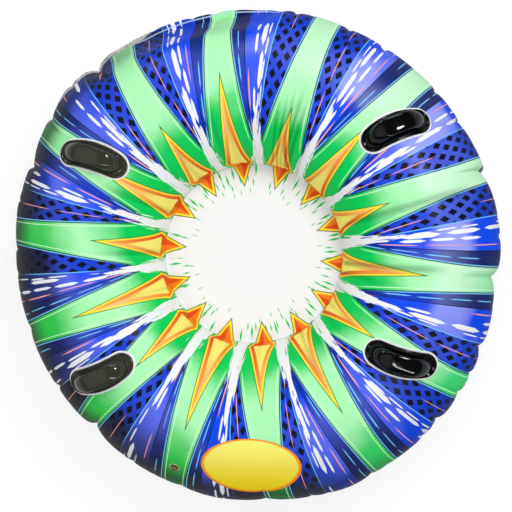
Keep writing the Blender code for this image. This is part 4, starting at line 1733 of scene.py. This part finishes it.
@dataclass
class GrabHandle:
    """A moulded grab handle on its white patch, at one corner of the ring."""

    corner: Corner
    bearing: float = math.radians(36.0)
    turn: float = math.radians(19.5)
    length: float = 0.130
    end_radius: float = 0.023
    back: float = 0.0305
    belly: float = 0.0205
    wall: float = 0.0022
    bead_width: float = 0.0050
    bead_rise: float = 0.0016
    grip_width: float = 0.034
    grip_thickness: float = 0.009
    grip_dish: float = 0.0017
    grip_rounding_start: float = 0.66
    grip_rounding: float = 0.70
    grip_inset: float = 0.015
    core_margin: float = -0.0185
    mid_margin: float = -0.010
    finger_gap: float = 0.019
    patch_margin: float = 0.0035
    patch_wall: float = 0.0008
    voxel: float = 0.0009
    long_steps: int = 36
    end_steps: int = 26

    def seat(self, ring: InflatedRing) -> None:
        """Find the handle's frame on the inflated film: X along it, Y across it and Z out.

        Args:
            ring: The ring, with its top sheet built.
        """
        right, ahead, slope_degrees = self.corner.value
        slope = math.radians(slope_degrees)
        bearing = self.bearing if right > 0 else math.pi - self.bearing
        heading = self.turn * right
        if ahead < 0:
            bearing, heading = -bearing, math.pi - heading
        out = Vector((math.cos(bearing), math.sin(bearing), 0.0))
        normal = out * math.sin(slope) + UP * math.cos(slope)
        downhill = out * math.cos(slope) - UP * math.sin(slope)
        sideways = normal.cross(downhill)
        heading -= bearing
        along = downhill * math.cos(heading) + sideways * math.sin(heading)
        core = out * ring.ring_radius + UP * ring.seam_height
        place = ring.top_skin.ray_cast(core + normal * 2.0 * ring.half_width, -normal)[0]
        self.frame = Matrix((along, normal.cross(along), normal)).transposed().to_4x4()
        self.frame.translation = place
        self.skin = ring.top_skin
        self.ring = ring

    def outline(self, margin: float) -> list[tuple[float, float]]:
        """Kidney outline of four arcs, its back at +Y, grown by a margin.

        Args:
            margin: How far the outline is moved outwards.

        Returns:
            Its points, anticlockwise.
        """
        reach = self.length / 2 - self.end_radius
        end, back, belly = self.end_radius + margin, self.back + margin, self.belly + margin
        back_radius = (reach ** 2 + back ** 2 - end ** 2) / (2 * (back - end))
        belly_radius = (reach ** 2 + belly ** 2 - end ** 2) / (2 * (end - belly))
        back_lean = math.asin(reach / (back_radius - end))
        belly_lean = math.asin(reach / (belly_radius + end))
        quarter = math.pi / 2
        arcs = (((0.0, back - back_radius), back_radius, quarter - back_lean, quarter + back_lean,
                 self.long_steps),
                ((-reach, 0.0), end, quarter + back_lean, 3 * quarter + belly_lean, self.end_steps),
                ((0.0, -belly - belly_radius), belly_radius, quarter + belly_lean,
                 quarter - belly_lean, self.long_steps),
                ((reach, 0.0), end, -quarter - belly_lean, quarter - back_lean, self.end_steps))
        points = []
        for (x, y), radius, start, stop, steps in arcs:
            for step in range(steps):
                angle = start + (stop - start) * step / steps
                points.append((x + radius * math.cos(angle), y + radius * math.sin(angle)))
        return points

    def on_skin(self, x: float, y: float, height: float) -> Vector:
        """Point over the film at a place in the handle's frame.

        Args:
            x: Place along the handle.
            y: Place across it.
            height: Height over the film's outer face.

        Returns:
            The point in the model's frame.
        """
        axis = self.frame.to_3x3() @ UP
        start = self.frame @ Vector((x, y, 0.05))
        place = self.skin.ray_cast(start, -axis)[0]
        flat = Vector((place.x, place.y, 0.0))
        middle = flat.normalized() * self.ring.ring_radius + UP * self.ring.seam_height
        return place + (place - middle).normalized() * height

    def plate(self, name: str, profile: Sequence[tuple[float, float]]) -> Piece:
        """Closed kidney plate that follows the film.

        Args:
            name: The object's name.
            profile: Pairs of margin and height, from the middle of its underside round its edge
                to the middle of its top.

        Returns:
            The plate.
        """
        points = [self.on_skin(x, y, height) for margin, height in profile
                  for x, y in self.outline(margin)]
        faces = lofted(len(profile), len(points) // len(profile))
        return mesh_object(name, np.array([tuple(p) for p in points]), faces)

    def station(self, share: float) -> Vector:
        """Middle of the arched grip, in the handle's frame.

        Args:
            share: From 0 at one foot to 1 at the other.

        Returns:
            The place.
        """
        half_span = self.length / 2 - self.grip_inset
        radius = self.ring.half_width
        foot = math.sqrt(radius ** 2 - half_span ** 2) - radius - 0.001
        crest = self.patch_wall + self.wall + self.finger_gap + self.grip_thickness / 2
        angle = math.pi * share
        lengthwise = math.copysign(abs(math.cos(angle)) ** 0.8, math.cos(angle))
        x = half_span * lengthwise
        z = foot + (crest - foot) * math.sin(angle) ** 0.8
        bow = (self.back - self.belly) / 2
        return Vector((x, bow * (1.0 - (2.0 * x / self.length) ** 2), z))

    def rounded_off(self, x: float, w: float, reach: float) -> float:
        """How far a leg's edge is drawn in along the handle, so that its end is round.

        Args:
            x: The point's place along the handle.
            w: Its distance from the grip's middle line.
            reach: The station's place, from 0 at the crest to 1 at a foot.

        Returns:
            The shift along the handle.
        """
        bend = self.grip_width * 0.56
        depth = bend - math.sqrt(max(bend ** 2 - w ** 2, 0.0))
        late = min(max((reach - 0.35) / 0.65, 0.0), 1.0)
        return math.copysign(depth * late * late * (3.0 - 2.0 * late), x)

    def grip(self) -> Piece:
        """Arched grip: a dished, rounded section swept from foot to foot, narrowed and rounded off at
        its feet.

        Returns:
            The grip.
        """
        stations, sides = 56, 40
        points = []
        for step in range(stations + 1):
            share = step / stations
            place = self.station(share)
            along = self.station(max(share - 0.01, 0.0)) - self.station(min(share + 0.01, 1.0))
            if step in (0, stations):
                along = UP * (1.0 if step else -1.0)
            along.normalize()
            across = (Vector((0.0, 1.0, 0.0)) - along * along.y).normalized()
            outward = across.cross(along).normalized()
            dish = self.grip_dish * math.sin(math.pi * share)
            reach = abs(place.x) / (self.length / 2 - self.grip_inset)
            past = max(reach - self.grip_rounding_start, 0.0) / (1.0 - self.grip_rounding_start)
            width = self.grip_width / 2 * math.sqrt(1.0 - (self.grip_rounding * past) ** 2 / 3)
            for side in range(sides):
                angle = math.tau * side / sides
                c, s = math.cos(angle), math.sin(angle)
                w = width * math.copysign(abs(c) ** 0.62, c)
                t = self.grip_thickness / 2 * math.copysign(abs(s) ** 0.78, s)
                if s > 0.0:
                    edge = min(max((abs(w) / width - 0.50) / 0.34, 0.0), 1.0)
                    t -= dish * (1.0 - edge * edge * (3.0 - 2.0 * edge))
                point = place + across * w + outward * t
                point.x -= self.rounded_off(point.x, w, reach)
                points.append(self.frame @ point)
        return mesh_object("grip", np.array([tuple(p) for p in points]), lofted(stations + 1, sides))

    def mould(self, name: str) -> Piece:
        """Flange and grip run together in one soft moulding, with fillets where they meet.

        Args:
            name: The object's name.

        Returns:
            The moulding.
        """
        low = CLEARANCE + self.patch_wall + CLEARANCE / 2
        top, bead = low + self.wall, low + self.wall + self.bead_rise
        width = self.bead_width
        core, mid, inside = self.core_margin, self.mid_margin, top - 0.0008
        profile = [(core, low), (mid, low), (-0.0004, low), (0.0, low + 0.0006)]
        for step in range(9):
            angle = math.pi * step / 8
            profile.append((-width / 2 + width / 2 * math.cos(angle),
                            top - 0.0006 + (bead - top + 0.0006) * math.sin(angle)))
        profile += [(-width - 0.0015, inside), (mid, inside), (core, inside)]
        flange = self.plate(name, profile)
        grip = self.grip()
        for part in (flange, grip):
            outward(part)
        with editing(flange.data) as merged:
            merged.from_mesh(grip.data)
        bpy.data.objects.remove(grip)
        remesh = flange.modifiers.new("Run together", "REMESH")
        remesh.mode = "VOXEL"
        remesh.voxel_size = self.voxel
        remesh.use_smooth_shade = True
        soften = flange.modifiers.new("Fillet", "SMOOTH")
        soften.factor = 0.5
        soften.iterations = 7
        return settle(flange)

    def build(self, moulding: bpy.types.Material, film: bpy.types.Material) -> None:
        """Make the handle and its patch.

        Args:
            moulding: Finish of the handle.
            film: Finish of the patch.
        """
        word = self.corner.name.lower()
        handle = self.mould(f"handle_{word}_moulding")
        low = CLEARANCE
        high = low + self.patch_wall
        edge, core, mid = self.patch_margin, self.core_margin, self.mid_margin
        patch = self.plate(f"handle_patch_{word}_film", [
            (core, low), (mid, low), (edge - 0.0003, low), (edge, low + 0.0003),
            (edge - 0.0002, high - 0.0001), (edge - 0.0007, high), (0.002, high),
            (0.0012, high - 0.0003), (mid, high - 0.0003), (core, high - 0.0003)])
        outward(patch)
        dress(handle, moulding, "ring", "handle_moulding", f"handle_{word}")
        dress(patch, film, "ring", "patch_vinyl", f"handle_patch_{word}")


# The air valve


@dataclass
class AirValve:
    """Push-in valve: ring and sleeve, sliding stem, hinged plug and inner flap."""

    slope: float = math.radians(45.0)
    bearing: float = math.radians(-112.2)
    ring_radius: float = 0.0104
    hole_radius: float = 0.0094
    fine_radius: float = 0.02068
    fine_cuts: int = 4
    stem_radius: float = 0.006
    bore_radius: float = 0.004
    collar_radius: float = 0.0076
    collar_wall: float = 0.0019
    sleeve_depth: float = 0.010
    travel: float = 0.012
    head_radius: float = 0.0066
    head_wall: float = 0.0016
    pin_length: float = 0.0045
    steps: int = 64

    def seat(self) -> None:
        """Find the valve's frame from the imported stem: X downhill and Z out along its slide."""
        slide = next(j for j in frame["joints"] if j["name"] == "stem_pull")
        axis = Vector(slide["axis"]).normalized()
        places = np.array([v.co for v in frame["nodes"]["valve_stem"].data.vertices])
        along = places @ np.array(axis)
        middle = Vector((places.min(0) + places.max(0)) / 2)
        crest = float(along.max()) - self.collar_wall - CLEARANCE
        origin = middle + axis * (crest - middle.dot(axis))
        out = Vector((math.cos(self.bearing), math.sin(self.bearing), 0.0))
        downhill = (out - axis * out.dot(axis)).normalized()
        self.frame = Matrix((downhill, axis.cross(downhill), axis)).transposed().to_4x4()
        self.frame.translation = origin

    def pierce(self, film: Piece) -> None:
        """Cut the valve's hole in a film, its edge hidden in the raised ring.

        Args:
            film: The film as one surface, before it gets its wall.
        """
        into, middle = self.frame.inverted(), self.frame.translation
        with editing(film.data) as mesh:
            bmesh.ops.subdivide_edges(mesh, cuts=self.fine_cuts, use_grid_fill=True, edges=[
                e for e in mesh.edges
                if all((v.co - middle).length < self.fine_radius for v in e.verts)])
            places = {v: into @ v.co for v in mesh.verts if (v.co - middle).length < self.fine_radius}
            inner = {v: p for v, p in places.items() if p.xy.length < self.hole_radius}
            bmesh.ops.delete(mesh, context="FACES", geom=[
                f for f in mesh.faces if all(v in inner for v in f.verts)])
            for point, place in inner.items():
                if point.is_valid:
                    spread = self.hole_radius / place.xy.length
                    point.co = self.frame @ Vector((place.x * spread, place.y * spread, place.z))

    def turned(self, name: str, profile: Sequence[tuple[float, float]]) -> Piece:
        """Turn a closed profile of radius and height about the valve's axis.

        Args:
            name: The object's name.
            profile: Its points.

        Returns:
            The object.
        """
        data = bpy.data.meshes.new(name)
        with editing(data) as mesh:
            points = [mesh.verts.new((radius, 0.0, height)) for radius, height in profile]
            edges = [mesh.edges.new((a, b)) for a, b in zip(points, points[1:] + points[:1])]
            bmesh.ops.spin(mesh, geom=points + edges, cent=(0, 0, 0), axis=(0, 0, 1),
                           angle=math.tau, steps=self.steps, use_merge=True)
            bmesh.ops.remove_doubles(mesh, verts=mesh.verts, dist=1e-6)
            bmesh.ops.recalc_face_normals(mesh, faces=mesh.faces)
            mesh.transform(self.frame)
        data.shade_smooth()
        data.set_sharp_from_angle(angle=math.radians(40.0))
        return stand(name, data)

    def tab(self, name: str, start: float, end: float, width: float, low: float,
            high: float) -> Piece:
        """Small rounded tab in the valve's frame, along its X axis.

        Args:
            name: The object's name.
            start: Where it starts on X.
            end: Where it ends on X.
            width: Its width.
            low: Height of its underside.
            high: Height of its top.

        Returns:
            The object.
        """
        outline = [(start, -width / 2), (start, width / 2)]
        for step in range(9):
            angle = math.pi / 2 - math.pi * step / 8
            reach = abs(end - start) - width / 2
            way = math.copysign(1.0, end - start)
            outline.append((start + way * (reach + width / 2 * math.cos(angle)),
                            width / 2 * math.sin(angle)))
        points = [(x, y, z) for z in (low, high) for x, y in outline]
        made = mesh_object(name, np.array(points), lofted(2, len(outline)), smooth=False)
        outward(made)
        made.data.transform(self.frame)
        return made

    def build(self, clear: bpy.types.Material, amber: bpy.types.Material) -> None:
        """Make the valve's pieces, each on its body.

        Args:
            clear: Finish of the ring and the flap.
            amber: Finish of the stem and the plug.
        """
        bore = self.stem_radius + CLEARANCE
        ring, rise_up = self.ring_radius, 0.0012
        base = self.turned("valve_base_ring", [
            (bore, -self.sleeve_depth), (bore + 0.0015, -self.sleeve_depth),
            (bore + 0.0015, -0.0032), (0.016, -0.0018), (0.016, -FILM - CLEARANCE),
            (ring, -FILM - CLEARANCE), (ring, 0.0005), (ring - 0.0003, rise_up - 0.0002),
            (ring - 0.0009, rise_up), (ring - 0.0015, rise_up - 0.0003), (ring - 0.0019, 0.0004),
            (ring - 0.0022, 0.0001), (bore + 0.0004, 0.0), (bore, -0.0004)])
        dress(base, clear, "ring", "clear_vinyl", "valve_base")
        low, top = CLEARANCE, CLEARANCE + self.collar_wall
        stop = -self.sleeve_depth - self.travel - CLEARANCE
        stem = self.turned("valve_stem_tube", [
            (self.bore_radius, stop - 0.0012), (0.0072, stop - 0.0012), (0.0072, stop),
            (self.stem_radius, stop), (self.stem_radius, low), (self.collar_radius - 0.0003, low),
            (self.collar_radius, low + 0.0003), (self.collar_radius, top - 0.0005),
            (self.collar_radius - 0.0005, top), (self.bore_radius + 0.0003, top),
            (self.bore_radius, top - 0.0003)])
        dress(stem, amber, "stem", "clear_vinyl", "valve_stem")
        self.build_plug(amber, top + CLEARANCE)
        flap_low = stop - 0.0012 - CLEARANCE - 0.0006
        flap = self.turned("valve_flap_disc", [(0.0, flap_low), (0.0050, flap_low),
                                               (0.0052, flap_low + 0.0003),
                                               (0.0050, flap_low + 0.0006), (0.0, flap_low + 0.0006)])
        dress(flap, clear, "flap", "clear_vinyl", "valve_flap")

    def build_plug(self, amber: bpy.types.Material, low: float) -> None:
        """Make the plug, its thumb tab and its hinge strip.

        Args:
            amber: Their finish.
            low: Height of the head's underside.
        """
        pin, head, high = self.bore_radius - CLEARANCE, self.head_radius, low + self.head_wall
        plug = self.turned("valve_plug_head", [
            (0.0, low - self.pin_length), (pin - 0.0012, low - self.pin_length),
            (pin - 0.0009, low - self.pin_length + 0.0003), (pin, low), (head - 0.0002, low),
            (head, low + 0.0003), (head, high - 0.0005), (head - 0.0005, high),
            (head - 0.0016, high), (head - 0.0020, high - 0.0003), (0.0016, high - 0.0003),
            (0.0010, high - 0.0001), (0.0, high)])
        dress(plug, amber, "plug", "clear_vinyl", "valve_plug")
        thumb = self.tab("valve_thumb_tab", head - 0.0012, head + 0.0030, 0.005, low + 0.0001,
                         low + 0.0009)
        strip = self.tab("valve_hinge_strip", -head + 0.0012, -self.collar_radius + 0.0002, 0.004,
                         low + 0.0001, low + 0.0008)
        for part in (thumb, strip):
            dress(part, amber, "plug", "clear_vinyl")


# The studio


def direction(bearing: float, rise_up: float) -> Vector:
    """Direction from the ring.

    Args:
        bearing: Its bearing, in degrees.
        rise_up: Its height over the horizon, in degrees.

    Returns:
        The unit vector.
    """
    a, e = math.radians(bearing), math.radians(rise_up)
    return Vector((math.cos(a) * math.cos(e), math.sin(a) * math.cos(e), math.sin(e)))


@dataclass
class Studio:
    """Plain pale floor, soft light and the camera that looks down on the ring."""

    seam_height: float = 0.1395
    tilt: float = math.radians(8.03)
    toward: float = math.radians(10.9)
    roll: float = math.radians(-3.44)
    distance: float = 3.0
    focal_pixels: float = 1600.7
    picture: float = 512.0
    sensor: float = 36.0
    aim_right: float = 0.0052
    aim_up: float = -0.0039
    overhead: float = 0.64
    around: float = 0.32
    floor_glow: float = 0.74
    floor_reach: float = 6.0
    panel: tuple[float, float] = (185.0, 57.0)

    def camera(self) -> None:
        """Place the camera as the photograph's stood."""
        view = Vector((math.sin(self.tilt) * math.cos(self.toward),
                       math.sin(self.tilt) * math.sin(self.toward), math.cos(self.tilt)))
        up = Vector((-math.sin(self.roll), math.cos(self.roll), 0.0))
        right = up.cross(view).normalized()
        up = view.cross(right)
        target = UP * self.seam_height + right * self.aim_right + up * self.aim_up
        data = bpy.data.cameras.new("camera")
        data.sensor_width = self.sensor
        data.lens = self.sensor * self.focal_pixels / self.picture
        data.clip_start, data.clip_end = 0.05, 60.0
        camera = stand("camera", data)
        camera.matrix_world = Matrix.Translation(target + view * self.distance) @ Matrix(
            (right, up, view)).transposed().to_4x4()
        bpy.context.scene.camera = camera

    def floor(self) -> None:
        """Lay the pale floor, which shows white and keeps the sled's shadow."""
        paint = Painter("studio floor")
        paint.set(Base_Color=printed(150, 150, 150), Roughness=0.8)
        glow = paint.tree.nodes.new("ShaderNodeEmission")
        feed(paint.tree, glow.inputs["Strength"], seen_directly(paint.tree) * self.floor_glow)
        paint.add(glow)
        square = np.array([(-1, -1, 0), (1, -1, 0), (1, 1, 0), (-1, 1, 0)]) * self.floor_reach
        ground = mesh_object("studio_floor", square, [(0, 1, 2, 3)], smooth=False)
        ground.data.materials.append(paint.material)

    def lamp(self, name: str, bearing: float, rise_up: float, away: float, size: tuple[float, float],
             power: float, turn: float = 0.0) -> bpy.types.Object:
        """Hang one soft white lamp that faces the ring.

        Args:
            name: Its name.
            bearing: Its direction from the ring, in degrees.
            rise_up: Its height over the horizon, in degrees.
            away: Its distance.
            size: Its width and height.
            power: Its power in watts.
            turn: Its turn about the line to the ring, in degrees.

        Returns:
            The lamp.
        """
        data = bpy.data.lights.new(name, "AREA")
        data.shape = "RECTANGLE"
        data.size, data.size_y = size
        data.energy = power
        lamp = stand(name, data)
        way = direction(bearing, rise_up)
        lamp.location = way * away + UP * self.seam_height
        lamp.rotation_mode = "QUATERNION"
        lamp.rotation_quaternion = way.to_track_quat("Z", "Y") @ Quaternion(
            (0.0, 0.0, 1.0), math.radians(turn))
        return lamp

    def light(self) -> None:
        """Light the ring: a soft key, an even surround, and small lamps that only the gloss shows."""
        self.lamp("key", 50.0, 56.0, 3.2, (1.7, 1.3), 40.0).visible_glossy = False
        for name, bearing, rise_up, size, power, turn in (
                ("window", 27.0, 53.0, (0.32, 0.28), 30.0, 0.0),
                ("strip_low", -51.1, 55.4, (0.06, 2.04), 19.0, 20.8),
                ("strip_back", 80.0, 33.0, (1.70, 0.06), 16.0, 0.0),
                ("spark", 118.0, 22.0, (0.14, 0.14), 9.0, 0.0)):
            self.lamp(name, bearing, rise_up, 2.6, size, power, turn).visible_diffuse = False
        world = bpy.data.worlds.new("surround")
        bpy.context.scene.world = world
        world.use_nodes = True
        tree = world.node_tree
        back = tree.nodes["Background"]
        way = tree.nodes.new("ShaderNodeTexCoord").outputs["Generated"]
        apart = tree.nodes.new("ShaderNodeSeparateXYZ")
        tree.links.new(way, apart.inputs[0])
        above = Signal(tree, apart.outputs[2]).math("MAXIMUM", 0.0)
        soft = above * self.overhead + self.around
        facing = tree.nodes.new("ShaderNodeVectorMath")
        facing.operation = "DOT_PRODUCT"
        tree.links.new(way, facing.inputs[0])
        facing.inputs[1].default_value = direction(*self.panel)
        panel = Signal(tree, facing.outputs["Value"]).step(0.80, 0.96) * 0.80
        backdrop = above.step(0.32, 0.16)
        shown = panel + (1.0 - panel) * backdrop + 0.06 * (1.0 - backdrop)
        back.inputs["Color"].default_value = (1.0, 1.0, 1.0, 1.0)
        feed(tree, back.inputs["Strength"], soft + (shown - soft) * seen_directly(tree))


def main() -> None:
    """Build the scene in order: view, film, handles, valve, studio."""
    logging.basicConfig(level=logging.INFO, format="%(message)s")
    bpy.context.scene.view_settings.view_transform = "Standard"
    studio = Studio()
    studio.camera()
    ring = InflatedRing()
    print_film = SunburstPrint().material()
    dark_film = PlainVinyl("dark vinyl film", printed(22, 30, 74), printed(52, 60, 104), 0.36).material()
    white_film = PlainVinyl("white vinyl patch", printed(250, 251, 250), printed(240, 241, 240),
                            0.32).material()
    valve = AirValve()
    valve.seat()
    ring.build(Layer.TOP, print_film, "printed_vinyl", valve)
    ring.build(Layer.BASE, dark_film, "base_vinyl")
    ring.weld_ribs(print_film, "printed_vinyl")
    polished = GlossMoulding().material()
    # Painted reflection: the left handles' black moulding is lifted to an even warm dark grey for the
    # glow they reflect, with the same dust specks as the right
    dust_and_sheen = GlossMoulding("dusty black moulding", printed(51, 52, 42), printed(64, 64, 54), 0.22,
                          0.08).material()
    for corner in Corner:
        handle = GrabHandle(corner)
        handle.seat(ring)
        handle.build(polished if corner.value[0] > 0 else dust_and_sheen, white_film)
    amber = ClearVinyl("clear amber vinyl", printed(134, 122, 46), printed(74, 62, 20), 0.4)
    valve.build(ClearVinyl().material(), amber.material())
    studio.floor()
    studio.light()


if __name__ == "__main__":
    main()
